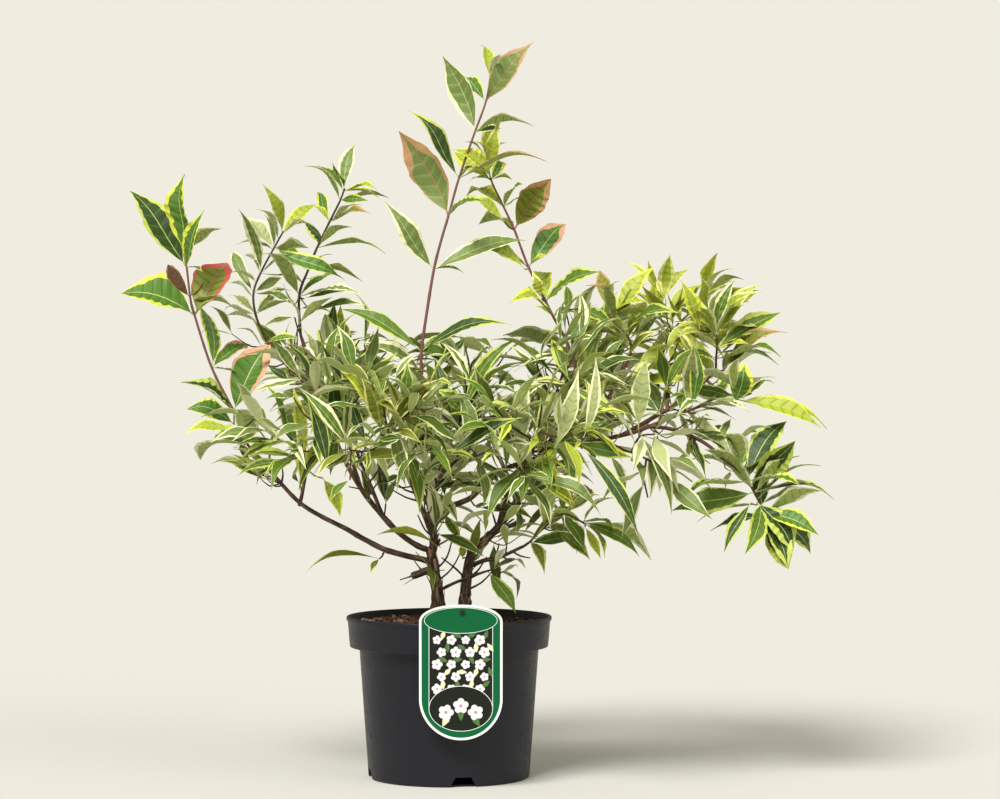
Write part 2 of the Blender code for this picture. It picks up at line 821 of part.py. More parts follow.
class Space:
    """What already stands round the plant, so that new growth keeps clear of it."""

    def __init__(self):
        self.solids = []

    def add(self, corners, faces, owner):
        """Adds a closed shape. In the mass that owns it, a leaf stands there by its outer part alone."""
        self.solids.append((*box_of(corners), BVHTree.FromPolygons(corners, faces), owner, True))

    def add_leaf(self, leaf, owner):
        whole = blade(leaf)
        outer = blade(outer_part(leaf))
        self.solids.append((*box_of(whole[0]), BVHTree.FromPolygons(*whole), owner, False))
        self.solids.append((*box_of(outer[0]), BVHTree.FromPolygons(*outer), owner, True))

    def add_mesh(self, mesh, owner):
        corners = [vertex.co.copy() for vertex in mesh.vertices]
        self.add(corners, [tuple(face.vertices) for face in mesh.polygons], owner)

    def touches(self, corners, faces, owner, own):
        """True where a shape meets a solid: one of its own mass where own is set, else one of another."""
        low, high = box_of(corners)
        tree = None
        for other_low, other_high, other, other_owner, stands in self.solids:
            if (other_owner == owner) != own or (own and not stands):
                continue
            if not near(low, high, other_low, other_high):
                continue
            tree = tree or BVHTree.FromPolygons(corners, faces)
            if tree.overlap(other):
                return True
        return False


def outer_part(leaf):
    """The leaf without the part of it that is next to its stem."""
    return leaf._replace(base=leaf.base.lerp(leaf.tip, OUTER_FROM), root=0.0)


def fitting_leaf(choices, space, owner, may_cross):
    """The first of a few ways of one leaf that fits, or None."""
    clear = [leaf for leaf in choices if not space.touches(*blade(leaf, LEAF_CLEAR * MM), owner, False)]
    for leaf in clear:
        if not space.touches(*blade(outer_part(leaf)), owner, True):
            return leaf
    return clear[0] if clear and may_cross else None


def make_leaf(base, way, length, root, face, chance, ample=False, breadth=LEAF_BREADTH):
    return Leaf(
        base,
        base + way.normalized() * length,
        face,
        length * breadth * chance.uniform(0.88, 1.12),
        chance.uniform(*LEAF_ARCH),
        root * ROOT_SUNK,
        ample,
    )


def blade_side(way, outward, chance):
    """The way a blade's upper side faces: up and a little back to its stem, rolled by chance."""
    face = Vector((0, 0, 1)) - outward * 0.2
    face = (face - way * face.dot(way)).normalized()
    return Matrix.Rotation(chance.gauss(0, math.radians(LEAF_ROLL)), 3, way.normalized()) @ face


def line_length(line):
    return sum((second - first).length for first, second in zip(line, line[1:]))


def at_share(line, share):
    """The point and the way of a line at a share of its length."""
    left = share * line_length(line)
    for first, second in zip(line, line[1:]):
        step = (second - first).length
        if left <= step:
            return first.lerp(second, left / step), (second - first).normalized()
        left -= step
    return line[-1].copy(), (line[-1] - line[-2]).normalized()


def stem_frame(way):
    across = way.cross(Vector((0, 1, 0)))
    across = across.normalized() if across.length > 0.2 else Vector((1, 0, 0))
    return across, way.cross(across).normalized()


def pairs_along(line, first_radius, pairs, leaf_length, hang, chance, turn):
    """Opposite pairs of leaves up a stem, each pair a quarter turn from the last, in a few tries each."""
    slots = []
    for number in range(pairs):
        share = FIRST_PAIR + (LAST_PAIR - FIRST_PAIR) * (number / max(1, pairs - 1)) ** 0.9
        place, way = at_share(line, share)
        across, deep = stem_frame(way)
        size = leaf_length * (1 - TIP_SHRINK * (number / pairs) ** 2) * chance.uniform(0.86, 1.1)
        root = (first_radius + (TWIG_TIP_RADIUS - first_radius) * share) * MM
        for side in (0, math.pi):
            choices = []
            for _ in range(LEAF_TRIES):
                angle = turn + side + math.pi / 2 * number + chance.gauss(0, 0.22)
                limits = PAIR_SPREAD if number < pairs - 1 else TIP_SPREAD
                spread = math.radians(chance.uniform(*limits))
                outward = across * math.cos(angle) + deep * math.sin(angle)
                ahead = way * math.cos(spread) + outward * math.sin(spread)
                ahead.z -= hang
                ahead.normalize()
                face = blade_side(ahead, outward, chance)
                choices.append(make_leaf(place, ahead, size * MM, root, face, chance))
            slots.append(choices)
    return slots


def grow_mass(mass, start, start_way, first_radius, chance):
    """One stem, its side twigs and the ways that their leaves may take."""
    points = [start, start + start_way * STRAIGHT_START * MM, *[seen(*point) for point in mass.points]]
    stem = smooth_line(points, LIMB_STEP * MM)
    twigs = [(stem, first_radius)]
    turn = chance.uniform(0, math.pi)
    sprays = [pairs_along(stem, first_radius, mass.pairs, mass.leaf, mass.hang, chance, turn)]
    for number in range(mass.side_twigs):
        share = SIDE_FROM + (SIDE_TO - SIDE_FROM) * number / max(1, mass.side_twigs - 1)
        place, way = at_share(stem, share)
        across, deep = stem_frame(way)
        angle = turn + SIDE_TURN * number + chance.gauss(0, 0.2)
        outward = across * math.cos(angle) + deep * math.sin(angle)
        reach = mass.side_length * MM * (1 - SIDE_SHRINK * share) * chance.uniform(0.85, 1.15)
        lift = Vector((0, 0, SIDE_LIFT - mass.hang))
        middle = place + (way * 0.55 + outward * 0.95).normalized() * reach * 0.5
        end = middle + (way * 0.7 + outward * 0.6 + lift).normalized() * reach * 0.5
        twig = smooth_line([place, middle, end], LIMB_STEP * MM)
        twigs.append((twig, SIDE_TWIG_RADIUS))
        turn_here = chance.uniform(0, math.pi)
        size = mass.leaf * SIDE_LEAF
        spray = pairs_along(twig, SIDE_TWIG_RADIUS, SIDE_PAIRS, size, mass.hang, chance, turn_here)
        sprays.append(spray)
    return twigs, sprays


def grow_shoot(rows, start, start_way, first_radius, chance):
    """A stem through its nodes, with the pair of leaves that shows at each. What a leaf lacks in length
    as seen, it has in depth, to the front or to the back."""
    nodes = [seen(*row[:3]) for row in rows]
    stem = smooth_line([start, start + start_way * STRAIGHT_START * MM, *nodes], NODE_STEP * MM)
    tip_way = (nodes[-1] - nodes[-2]).normalized()
    stem.append(stem[-1] + tip_way * 3 * MM)
    slots = []
    for number, (row, node) in enumerate(zip(rows, nodes)):
        share = number / len(rows)
        full = SHOOT_LEAF - SHOOT_SHRINK * share**2
        root = (first_radius + (TWIG_TIP_RADIUS - first_radius) * share) * MM
        for side, (angle, length) in enumerate(((row[3], row[4]), (row[5], row[6]))):
            angle = math.radians(angle)
            hidden = math.sqrt(max(full**2 - length**2, (LEAST_DEEP * length) ** 2))
            depth = min(hidden, MOST_DEEP * length) * (1 if (number + side) % 2 else -1)
            toward = Vector((0, -0.7, 0)) * chance.choice((1, 1, -1))
            choices = []
            for share_deep in DEEP_SHARES:
                reach = Vector((math.cos(angle) * length, depth * share_deep, math.sin(angle) * length))
                outward = Vector((reach.x, reach.y, 0)).normalized()
                face = blade_side(reach.normalized(), outward, chance) + toward
                choices.append(make_leaf(node, reach, reach.length * MM, root, face, chance, True))
            slots.append(choices)
    return [(stem, first_radius)], [slots]


def grow_hanging_leaf(chance):
    """The narrow leaf that hangs by itself under the left arch, and a bud leaf beside it."""
    line, radii = limb_line("bough_left_arch")
    place = seen(*HANGING_LEAF_FROM)
    number = min(range(1, len(line) - 1), key=lambda spot: (line[spot] - place).length)
    arch_way = (line[number + 1] - line[number - 1]).normalized()
    down = Vector((0, 0, -1))
    down = (down - arch_way * down.dot(arch_way)).normalized()
    start = line[number] + down * (radii[number] + GAP) * MM
    knee = start + down * HANGING_TWIG / 2 * MM
    twig = [start, knee, knee + Vector((-1, -0.6, -1)).normalized() * HANGING_TWIG / 2 * MM]
    angle = math.radians(HANGING_LEAF_WAY)
    way = Vector((math.cos(angle), -0.1, math.sin(angle)))
    face = Vector((0, -0.5, 1))
    root = SIDE_TWIG_RADIUS * MM
    length = HANGING_LEAF_LENGTH * MM
    narrow = make_leaf(twig[-1], way, length, root, face, chance, True, NARROW_BREADTH)
    bud_way = Vector((-0.3, -0.6, -0.5))
    bud = make_leaf(twig[-1], bud_way, HANGING_BUD_LENGTH * MM, root, face, chance, True)
    return [(twig, SIDE_TWIG_RADIUS)], [[[narrow], [bud]]]


def twig_tube(name, line, first_radius, home):
    last = len(line) - 1
    radii = [first_radius + (TWIG_TIP_RADIUS - first_radius) * step / last for step in range(last + 1)]
    return tube(name, line, radii, TWIG_SIDES, home)


def shape_of(thing):
    corners = [vertex.co.copy() for vertex in thing.data.vertices]
    return corners, [tuple(face.vertices) for face in thing.data.polygons]


def make_foliage(name, body, twigs, sprays, may_cross, space, finish):
    """Fuses a mass's twigs, and the leaves that fit the space it has, to its stem."""
    pieces = bpy.data.collections.new(f"{name} pieces")
    bpy.context.scene.collection.children.link(pieces)
    for number, ((line, first_radius), slots) in enumerate(zip(twigs, sprays)):
        if number:
            twig = twig_tube(f"{name} twig {number}", line, first_radius, pieces)
            if space.touches(*shape_of(twig), name, False):
                bpy.data.objects.remove(twig, do_unlink=True)
                continue
            space.add(*shape_of(twig), name)
        for place, choices in enumerate(slots):
            leaf = fitting_leaf(choices, space, name, may_cross)
            if leaf is None:
                continue
            corners, faces = blade(leaf)
            mesh = bpy.data.meshes.new(f"{name} leaf")
            mesh.from_pydata(corners, [], faces)
            place_mesh(f"{name} leaf {number} {place}", mesh, pieces)
            space.add_leaf(leaf, name)
    join_all(body, pieces)
    thin_out(body, SHOOT_SHARE if may_cross else MASS_SHARE)
    dress(body, finish)


def thin_out(body, share):
    """Keeps a share of the faces, and lets go of the smallest, which lie where roots were fused."""
    for more in MORE_SHARES:
        fewer = body.modifiers.new("Fewer faces", "DECIMATE")
        fewer.ratio = share + more
        mesh = mesh_of(body)
        body.modifiers.clear()
        keep_main_body(mesh)
        if fault_of(mesh) is None:
            body.data = mesh
            return


def main():
    home = new_collection("weigela in a pot")
    cutters = new_collection("cutters")
    new_collection("guides")
    plastic = finish_of("dark pot plastic", (0.028, 0.028, 0.036), 0.45)
    compost = finish_of("bark compost", (0.07, 0.032, 0.018), 0.95)
    card = finish_of("printed label", (0.02, 0.19, 0.06), 0.35)
    bark = finish_of("old bark", (0.10, 0.06, 0.04), 0.85)
    green = finish_of("variegated leaves", (0.25, 0.34, 0.07), 0.55)

    make_pot(home, cutters, plastic)
    make_soil(home, compost)
    make_label(home, card)
    make_clip(home, plastic)

    space = Space()
    for name in LIMBS:
        limb = make_limb(name, home, cutters, bark)
        space.add_mesh(limb.data, name)
    for name in ("pot", "soil", "label", "label_clip"):
        space.add_mesh(mesh_of(bpy.data.objects[name]), name)

    plans = []
    for name, growth in {**SHOOTS, **MASSES}.items():
        start, way = next_start(f"bough_{name}")
        first_radius = LIMBS[f"bough_{name}"].last_radius * STEM_FIT
        grow = grow_mass if name in MASSES else grow_shoot
        chance = random.Random(f"foliage {name}")
        twigs, sprays = grow(growth, start, way, first_radius, chance)
        plans.append((f"foliage_{name}", twigs, sprays, name in SHOOTS))
    twigs, sprays = grow_hanging_leaf(random.Random("hanging leaf"))
    plans.insert(0, ("foliage_hanging_leaf", twigs, sprays, True))

    bodies = {}
    for name, twigs, _, _ in plans:
        bodies[name] = twig_tube(name, *twigs[0], home)
        space.add(*shape_of(bodies[name]), name)
    for name, twigs, sprays, may_cross in plans:
        make_foliage(name, bodies[name], twigs, sprays, may_cross, space, green)


clear_scene()
main()
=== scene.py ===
# %% [markdown]
# # A variegated weigela in its nursery pot
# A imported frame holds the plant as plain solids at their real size: two trunks, their boughs, one solid for
# each mass of leaves, and the pot with its compost and label. Here each of them is dressed. The limbs get
# bark, the masses become twigs and toothed leaves that grow by the same rule as the solids, and the pot, the
# compost and the label become what they are made of. Everything is in metres, +Z up, with the front at -Y.

# %% Load the frame
import json
import math
import random
from collections import namedtuple

import bmesh
import bpy
from mathutils import Matrix, Vector, noise
from mathutils.bvhtree import BVHTree

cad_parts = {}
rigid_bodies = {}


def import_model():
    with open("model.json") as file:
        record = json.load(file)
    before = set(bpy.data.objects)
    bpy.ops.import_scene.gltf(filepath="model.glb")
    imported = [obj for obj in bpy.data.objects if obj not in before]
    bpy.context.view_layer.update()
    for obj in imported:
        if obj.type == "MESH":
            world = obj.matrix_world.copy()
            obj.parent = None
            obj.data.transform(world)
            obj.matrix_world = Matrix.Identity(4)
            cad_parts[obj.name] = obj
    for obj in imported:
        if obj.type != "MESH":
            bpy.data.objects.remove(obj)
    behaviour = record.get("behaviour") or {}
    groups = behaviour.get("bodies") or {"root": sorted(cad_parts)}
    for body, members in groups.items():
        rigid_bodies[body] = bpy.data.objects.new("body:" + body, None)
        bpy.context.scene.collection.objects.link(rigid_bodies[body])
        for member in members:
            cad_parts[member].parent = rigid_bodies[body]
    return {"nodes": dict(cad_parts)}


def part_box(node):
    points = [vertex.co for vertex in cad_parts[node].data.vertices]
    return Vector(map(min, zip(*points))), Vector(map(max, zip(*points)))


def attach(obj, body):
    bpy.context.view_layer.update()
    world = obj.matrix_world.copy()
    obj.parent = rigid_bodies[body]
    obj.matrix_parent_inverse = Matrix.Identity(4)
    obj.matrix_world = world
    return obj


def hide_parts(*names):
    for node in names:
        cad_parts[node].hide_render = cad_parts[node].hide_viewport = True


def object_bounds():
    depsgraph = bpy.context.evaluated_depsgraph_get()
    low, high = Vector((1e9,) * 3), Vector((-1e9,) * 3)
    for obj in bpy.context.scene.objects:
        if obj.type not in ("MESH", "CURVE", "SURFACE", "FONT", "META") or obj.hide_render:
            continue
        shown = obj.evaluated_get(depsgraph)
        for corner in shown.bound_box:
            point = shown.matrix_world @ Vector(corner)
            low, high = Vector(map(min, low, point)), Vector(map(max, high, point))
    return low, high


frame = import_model()
cad_low, cad_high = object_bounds()
MM = 0.001
print("the frame spans", [round(side / MM) for side in cad_high - cad_low], "mm")

# %% [markdown]
# A few steps come back all through this script: an object goes into the scene, a shape that was edited
# becomes a mesh or plain lists, and a half section is turned about the axis, as on a lathe.

# %% Small tools
def add_object(name, data):
    """A new object in the scene, at the origin."""
    thing = bpy.data.objects.new(name, data)
    bpy.context.scene.collection.objects.link(thing)
    return thing


def to_mesh(shape, name):
    """Makes a mesh of a bmesh, and frees it."""
    mesh = bpy.data.meshes.new(name)
    shape.to_mesh(mesh)
    shape.free()
    return mesh


def to_lists(shape):
    """The corners and the faces of a bmesh, which is freed."""
    shape.verts.index_update()
    corners = [corner.co.copy() for corner in shape.verts]
    faces = [tuple(corner.index for corner in face.verts) for face in shape.faces]
    shape.free()
    return corners, faces


def turned(section, steps):
    """A half section, given as radii and heights in millimetres, turned about the axis."""
    shape = bmesh.new()
    outline = [shape.verts.new((radius * MM, 0, height * MM)) for radius, height in section]
    for first, second in zip(outline, outline[1:]):
        shape.edges.new((first, second))
    bmesh.ops.spin(
        shape,
        geom=[*shape.verts, *shape.edges],
        cent=(0, 0, 0),
        axis=(0, 0, 1),
        angle=math.radians(360),
        steps=steps,
        use_merge=True,
    )
    bmesh.ops.remove_doubles(shape, verts=shape.verts, dist=0.01 * MM)
    bmesh.ops.recalc_face_normals(shape, faces=shape.faces)
    return shape

# %% [markdown]
# The photo was taken level, from about three metres, with a long lens, so that the pot's rim shows as a thin
# ellipse. A camera is placed by its distance first, and its lens is then chosen so that the plant fills the
# frame as it does in the photo. Moving the camera closer instead would open the ellipse too far.

# %% Camera
VIEW_AWAY = 3000.0
VIEW_X = 57.0
VIEW_Z = 422.0
LENS = 96.4
SENSOR = 36.0
CLIP_END = 400.0

camera_data = bpy.data.cameras.new("front camera")
camera_data.lens = LENS
camera_data.sensor_width = SENSOR
camera_data.clip_end = CLIP_END
camera = add_object("front camera", camera_data)
camera.location = Vector((VIEW_X, -VIEW_AWAY, VIEW_Z)) * MM
camera.rotation_euler = (math.radians(90), 0, 0)
bpy.context.scene.camera = camera
print("camera", [round(value, 3) for value in camera.location])

# %% [markdown]
# Colours are written as a screen shows them, as sRGB hex values, because that is how one picks them.
# Shaders work on linear light, so one function turns each value. Nodes are added by one small function too,
# and layers that come back in most materials, such as a noise or a relief, have short names of their own.

# %% Colours and nodes
def colour(hex_value):
    """Linear RGBA from an sRGB hex value."""
    parts = [int(hex_value[start : start + 2], 16) / 255 for start in (1, 3, 5)]
    linear = [part / 12.92 if part <= 0.04045 else ((part + 0.055) / 1.055) ** 2.4 for part in parts]
    return (*linear, 1.0)


def add_node(material, kind, values=None, links=None):
    """Adds a node, gives its sockets or settings their values, and joins its inputs to the given outputs."""
    node = material.node_tree.nodes.new(kind)
    for name, value in (values or {}).items():
        if isinstance(name, int) or name in node.inputs:
            node.inputs[name].default_value = value
        else:
            setattr(node, name, value)
    for name, source in (links or {}).items():
        material.node_tree.links.new(source, node.inputs[name])
    return node


def new_material(name, base, roughness, ior=1.5, specular=0.5):
    """A material with plain values on its shader. Patterns are joined to it afterwards."""
    material = bpy.data.materials.new(name)
    material.use_nodes = True
    shader = material.node_tree.nodes["Principled BSDF"]
    shader.inputs["Base Color"].default_value = colour(base)
    shader.inputs["Roughness"].default_value = roughness
    shader.inputs["IOR"].default_value = ior
    shader.inputs["Specular IOR Level"].default_value = specular
    material.diffuse_color = colour(base)
    return material, shader


def join(material, output, shader, name):
    material.node_tree.links.new(output, shader.inputs[name])


def object_place(material):
    """A point's place in the object, in metres."""
    return add_node(material, "ShaderNodeTexCoord").outputs["Object"]


def carried_place(material):
    """The place on its own leaf or limb that each corner carries."""
    return add_node(material, "ShaderNodeAttribute", {"attribute_name": "place"}).outputs["Vector"]


def add_noise(material, place, scale, detail, **more):
    """A noise of about 0 to 1, with so many lumps to each unit of the place."""
    values = {"Scale": scale, "Detail": detail, **more}
    return add_node(material, "ShaderNodeTexNoise", values, {"Vector": place}).outputs["Fac"]


def add_range(material, value, start, end, low=0.0, high=1.0):
    """A value that runs from low to high while the given one runs from start to end."""
    values = {"From Min": start, "From Max": end, "To Min": low, "To Max": high}
    return add_node(material, "ShaderNodeMapRange", values, {"Value": value}).outputs["Result"]


def add_mix(material, share, dark, light):
    """A colour between two hex values."""
    values = {"data_type": "RGBA", 6: colour(dark), 7: colour(light)}
    return add_node(material, "ShaderNodeMix", values, {0: share}).outputs[2]


def add_ramp(material, value, first, last, between=()):
    """A colour that runs through stops, each given as a position and a hex value."""
    ramp = add_node(material, "ShaderNodeValToRGB", links={"Fac": value})
    stops = ramp.color_ramp.elements
    for stop, (position, tone) in zip(stops, (first, last)):
        stop.position = position
        stop.color = colour(tone)
    for position, tone in between:
        stops.new(position).color = colour(tone)
    return ramp.outputs["Color"]


def add_relief(material, shader, height, strength, deep_mm):
    """Bumps on the skin, from a height of about 0 to 1."""
    values = {"Strength": strength, "Distance": deep_mm * MM}
    bump = add_node(material, "ShaderNodeBump", values, {"Height": height})
    join(material, bump.outputs["Normal"], shader, "Normal")


print("mid grey is", round(colour("#808080")[0], 3), "in linear light")

# %% [markdown]
# The photo's background is an even warm cream with no horizon. The world shows that cream to the camera and
# gives a weaker light of the same tint to the plant, and two wide suns stand for a big soft box on the left
# and a smaller one on the right. Suns light the floor evenly, so the floor's colour can be worked out to
# come back as the same cream, and the line where floor and world meet goes away.

# %% Floor and light
CREAM = colour("#F0EDE0")[:3]
AMBIENT = 0.45
KEY_STRENGTH = 3.9
KEY_TILT = 42.0
FILL_STRENGTH = 0.9
FILL_TILT = 55.0
FLOOR_RADIUS = 60.0


def add_sun(name, strength, tilt, turn, softness):
    """A sun whose light leans from straight down by tilt, and comes from the side that turn gives."""
    data = bpy.data.lights.new(name, "SUN")
    data.energy = strength
    data.angle = math.radians(softness)
    add_object(name, data).rotation_euler = (math.radians(tilt), 0, math.radians(turn))


add_sun("key soft box", KEY_STRENGTH, KEY_TILT, turn=-28, softness=24)
add_sun("fill soft box", FILL_STRENGTH, FILL_TILT, turn=48, softness=40)

world = bpy.data.worlds.new("cream studio")
bpy.context.scene.world = world
world.use_nodes = True
backdrop = world.node_tree.nodes["Background"]
backdrop.inputs["Color"].default_value = (*CREAM, 1.0)
camera_ray = add_node(world, "ShaderNodeLightPath").outputs["Is Camera Ray"]
join(world, add_range(world, camera_ray, 0.0, 1.0, AMBIENT, 1.0), backdrop, "Strength")

key_light = KEY_STRENGTH * math.cos(math.radians(KEY_TILT))
fill_light = FILL_STRENGTH * math.cos(math.radians(FILL_TILT))
floor_light = (key_light + fill_light) / math.pi
floor_finish, floor_shader = new_material("matt studio floor", "#D8D4C6", 1.0, specular=0.0)
floor_tone = [tone / (AMBIENT * tone + floor_light) for tone in CREAM]
floor_shader.inputs["Base Color"].default_value = (*floor_tone, 1.0)
floor_shape = bmesh.new()
bmesh.ops.create_circle(floor_shape, cap_ends=True, segments=64, radius=FLOOR_RADIUS)
floor_mesh = to_mesh(floor_shape, "studio_floor")
floor_mesh.materials.append(floor_finish)
floor = add_object("studio_floor", floor_mesh)
bpy.context.scene.view_settings.view_transform = "Standard"
print("floor colour", [round(value, 2) for value in floor_shader.inputs["Base Color"].default_value])

# %% [markdown]
# Most of the object is many small shapes: leaves, twigs, flakes of bark, chips of compost. One object for
# each would be slow to draw and hard to handle, so small shapes are gathered and made one mesh. Each face
# keeps its own material there, and each corner carries its place on its own leaf or limb, so that a pattern
# can follow the surface wherever the shape is laid.

# %% Gathering small shapes
def new_piece(name, mesh, nodes=(), sharp=40.0):
    """An object at the origin that rides with the plant and stands for the given nodes."""
    mesh.polygons.foreach_set("use_smooth", [True] * len(mesh.polygons))
    mesh.set_sharp_from_angle(angle=math.radians(sharp))
    piece = add_object(name, mesh)
    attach(piece, "root")
    if nodes:
        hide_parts(*nodes)
    return piece


class Gathered:
    """Many small closed shapes on their way to one mesh."""

    def __init__(self, name):
        self.name = name
        self.corners = []
        self.places = []
        self.faces = []
        self.finishes = []

    def add(self, corners, faces, finishes, places=None):
        first = len(self.corners)
        self.corners.extend(corners)
        self.places.extend(places or [(0.0, 0.0, 0.0)] * len(corners))
        self.faces.extend(tuple(first + spot for spot in face) for face in faces)
        self.finishes.extend(finishes)

    def add_shape(self, shape, finish):
        """Adds a bmesh, and frees it."""
        place_of = shape.verts.layers.float_vector.get("place")
        places = [tuple(corner[place_of]) for corner in shape.verts] if place_of else None
        corners, faces = to_lists(shape)
        self.add(corners, faces, [finish] * len(faces), places)

    def to_mesh(self):
        mesh = bpy.data.meshes.new(self.name)
        mesh.from_pydata(self.corners, [], self.faces)
        used = list(dict.fromkeys(self.finishes))
        for finish in used:
            mesh.materials.append(finish)
        number_of = {finish: number for number, finish in enumerate(used)}
        mesh.polygons.foreach_set("material_index", [number_of[finish] for finish in self.finishes])
        places = mesh.attributes.new("place", "FLOAT_VECTOR", "POINT").data
        places.foreach_set("vector", [part for place in self.places for part in place])
        return mesh

    def piece(self, slot, nodes=(), sharp=40.0):
        made = new_piece(self.name, self.to_mesh(), nodes, sharp)
        print(self.name, len(made.data.polygons), "faces")
        return made


# %% [markdown]
# The pot is moulded polypropylene, coloured through with carbon black and a little blue. Such
# plastic has a satin skin with a fine grain from the mould, which scatters light at grazing
# angles and makes the sides paler than the middle. Handling leaves fine dull scuffs, so both the colour and
# the roughness drift a little with a slow noise, and a fine noise roughens the surface.

# %% Pot plastic
def moulded_plastic(name, dark, light, roughness):
    """Moulded polypropylene: a slow drift of tone, scuffs a few millimetres wide and a fine grain."""
    material, shader = new_material(name, dark, roughness, ior=1.49, specular=0.32)
    place = object_place(material)
    drift = add_noise(material, place, 9.0, 2.0)
    join(material, add_mix(material, drift, dark, light), shader, "Base Color")
    scuffs = add_noise(material, place, 1 / (6 * MM), 5.0, Roughness=0.7)
    dull = add_range(material, scuffs, 0.35, 0.75, roughness - 0.06, roughness + 0.16)
    join(material, dull, shader, "Roughness")
    grain = add_noise(material, place, 1 / (0.8 * MM), 2.0)
    add_relief(material, shader, grain, 0.25, 0.2)
    return material


pot_plastic = moulded_plastic("satin polypropylene", "#111118", "#1A1A23", 0.42)
clip_plastic = moulded_plastic("clip polypropylene", "#141418", "#1C1C20", 0.38)
print("plastics", pot_plastic.name, clip_plastic.name)

# %% [markdown]
# A nursery pot is a thin turned shell: a tapered body, a wider band that stops stacked pots from jamming,
# and a small rolled lip. On a lathe one draws half of the section and turns it about the axis. Spin does
# that here. The sizes come from the frame's own pot, so that the shell fits the compost and the label.

# %% Pot shell
_, pot_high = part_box("pot")
POT_HEIGHT = pot_high.z / MM
LIP_RADIUS = pot_high.x / MM
BAND_TOP_RADIUS = LIP_RADIUS - 1.6
BAND_FOOT_RADIUS = LIP_RADIUS - 4.0
BAND_FOOT = POT_HEIGHT - 34.0
BODY_TOP_RADIUS = LIP_RADIUS - 14.5
BASE_RADIUS = LIP_RADIUS - 25.0
WALL = 1.8
POT_TURNS = 120


def arc(middle, radius, start, end, steps):
    """Points on an arc in the section, with angles in degrees from the outward level."""
    points = []
    for step in range(steps + 1):
        angle = math.radians(start + (end - start) * step / steps)
        points.append((middle[0] + radius * math.cos(angle), middle[1] + radius * math.sin(angle)))
    return points


pot_section = [
    (0.0, 2.0),
    (BASE_RADIUS - WALL - 3, 2.0),
    *arc((BASE_RADIUS - WALL - 3, 5.0), 3.0, -90, 0, 4)[1:],
    (BODY_TOP_RADIUS - WALL - 0.2, BAND_FOOT - 1.0),
    *arc((BODY_TOP_RADIUS - WALL + 1.4, BAND_FOOT - 0.4), 2.0, 180, 90, 4),
    *arc((BAND_FOOT_RADIUS - WALL - 1.0, BAND_FOOT + WALL + 1.0), 1.0, -90, 0, 3),
    (BAND_TOP_RADIUS - WALL, POT_HEIGHT - 2.0),
    *arc((LIP_RADIUS - 1.7, POT_HEIGHT - 1.7), 1.7, 130, 0, 7),
    *arc((LIP_RADIUS - 1.2, POT_HEIGHT - 3.6), 1.2, 0, -90, 4),
    (BAND_TOP_RADIUS + 0.1, POT_HEIGHT - 5.2),
    (BAND_TOP_RADIUS - 0.6, POT_HEIGHT - 12.0),
    (BAND_TOP_RADIUS - 1.3, POT_HEIGHT - 22.0),
    *arc((BAND_FOOT_RADIUS - 0.9, BAND_FOOT + 0.9), 0.9, 0, -90, 4),
    (BODY_TOP_RADIUS + 1.6, BAND_FOOT),
    *arc((BODY_TOP_RADIUS + 1.4, BAND_FOOT - 1.5), 1.5, 90, 180, 4),
    (BODY_TOP_RADIUS - 2.6, BAND_FOOT - 36.0),
    (BODY_TOP_RADIUS - 5.4, BAND_FOOT - 76.0),
    (BASE_RADIUS + 1.4, 20.0),
    *arc((BASE_RADIUS - 2.4, 2.6), 2.6, 4, -90, 5),
    (BASE_RADIUS - 9.0, 0.0),
    (BASE_RADIUS - 11.0, 1.0),
    (0.0, 1.0),
]
pot_mesh = to_mesh(turned(pot_section, POT_TURNS), "pot_shell")
print("pot shell", len(pot_mesh.polygons), "faces before its drain openings")

# %% [markdown]
# Four drain openings are notched into the bottom edge, wider at their foot. A Boolean is the short way to
# cut them through wall and base at once: one joined cutter of tapered blocks is subtracted, the result is
# kept as a plain mesh, and the cutter goes.

# %% Drain openings
NOTCHES = 4
NOTCH_TURN = 11.0
NOTCH_FOOT = (31.0, -1.0)
NOTCH_TOP = (17.0, 11.0)


def notch_blocks():
    """Blocks round the pot's foot. The widths and heights of a notch's foot and top are named above."""
    shape = bmesh.new()
    for number in range(NOTCHES):
        made = bmesh.ops.create_cube(shape, size=1.0)["verts"]
        for corner in made:
            width, height = NOTCH_TOP if corner.co.z > 0 else NOTCH_FOOT
            depth = -(BASE_RADIUS + 5) if corner.co.y < 0 else -(BASE_RADIUS - 7)
            corner.co = Vector((math.copysign(width / 2, corner.co.x), depth, height)) * MM
        turn = Matrix.Rotation(math.radians(NOTCH_TURN + 360 * number / NOTCHES), 3, "Z")
        bmesh.ops.rotate(shape, verts=made, cent=(0, 0, 0), matrix=turn)
    return to_mesh(shape, "notch blocks")


def cut(mesh, cutter_mesh):
    """The mesh less the cutter."""
    body = add_object("to cut", mesh)
    cutter = add_object("cutter", cutter_mesh)
    taken = body.modifiers.new("Cut", "BOOLEAN")
    taken.operation = "DIFFERENCE"
    taken.solver = "EXACT"
    taken.object = cutter
    bpy.context.view_layer.update()
    graph = bpy.context.evaluated_depsgraph_get()
    result = bpy.data.meshes.new_from_object(body.evaluated_get(graph))
    for thing in (body, cutter):
        bpy.data.objects.remove(thing, do_unlink=True)
    return result


pot_mesh = cut(pot_mesh, notch_blocks())
pot_mesh.materials.clear()
pot_mesh.materials.append(pot_plastic)
pot_mesh.polygons.foreach_set("material_index", [0] * len(pot_mesh.polygons))
pot = new_piece("pot_shell", pot_mesh, ["pot"], sharp=35.0)
print("pot shell", len(pot_mesh.polygons), "faces")

# %% [markdown]
# Nursery compost is mostly chipped and composted bark. From above it reads as a dark crumbly bed with
# reddish chips and pale fibres on it, mounded a little by hand on the left. The bed is one closed turned
# body with its top pushed up and down by noise, and on it lie loose chips, which are what catches the light.

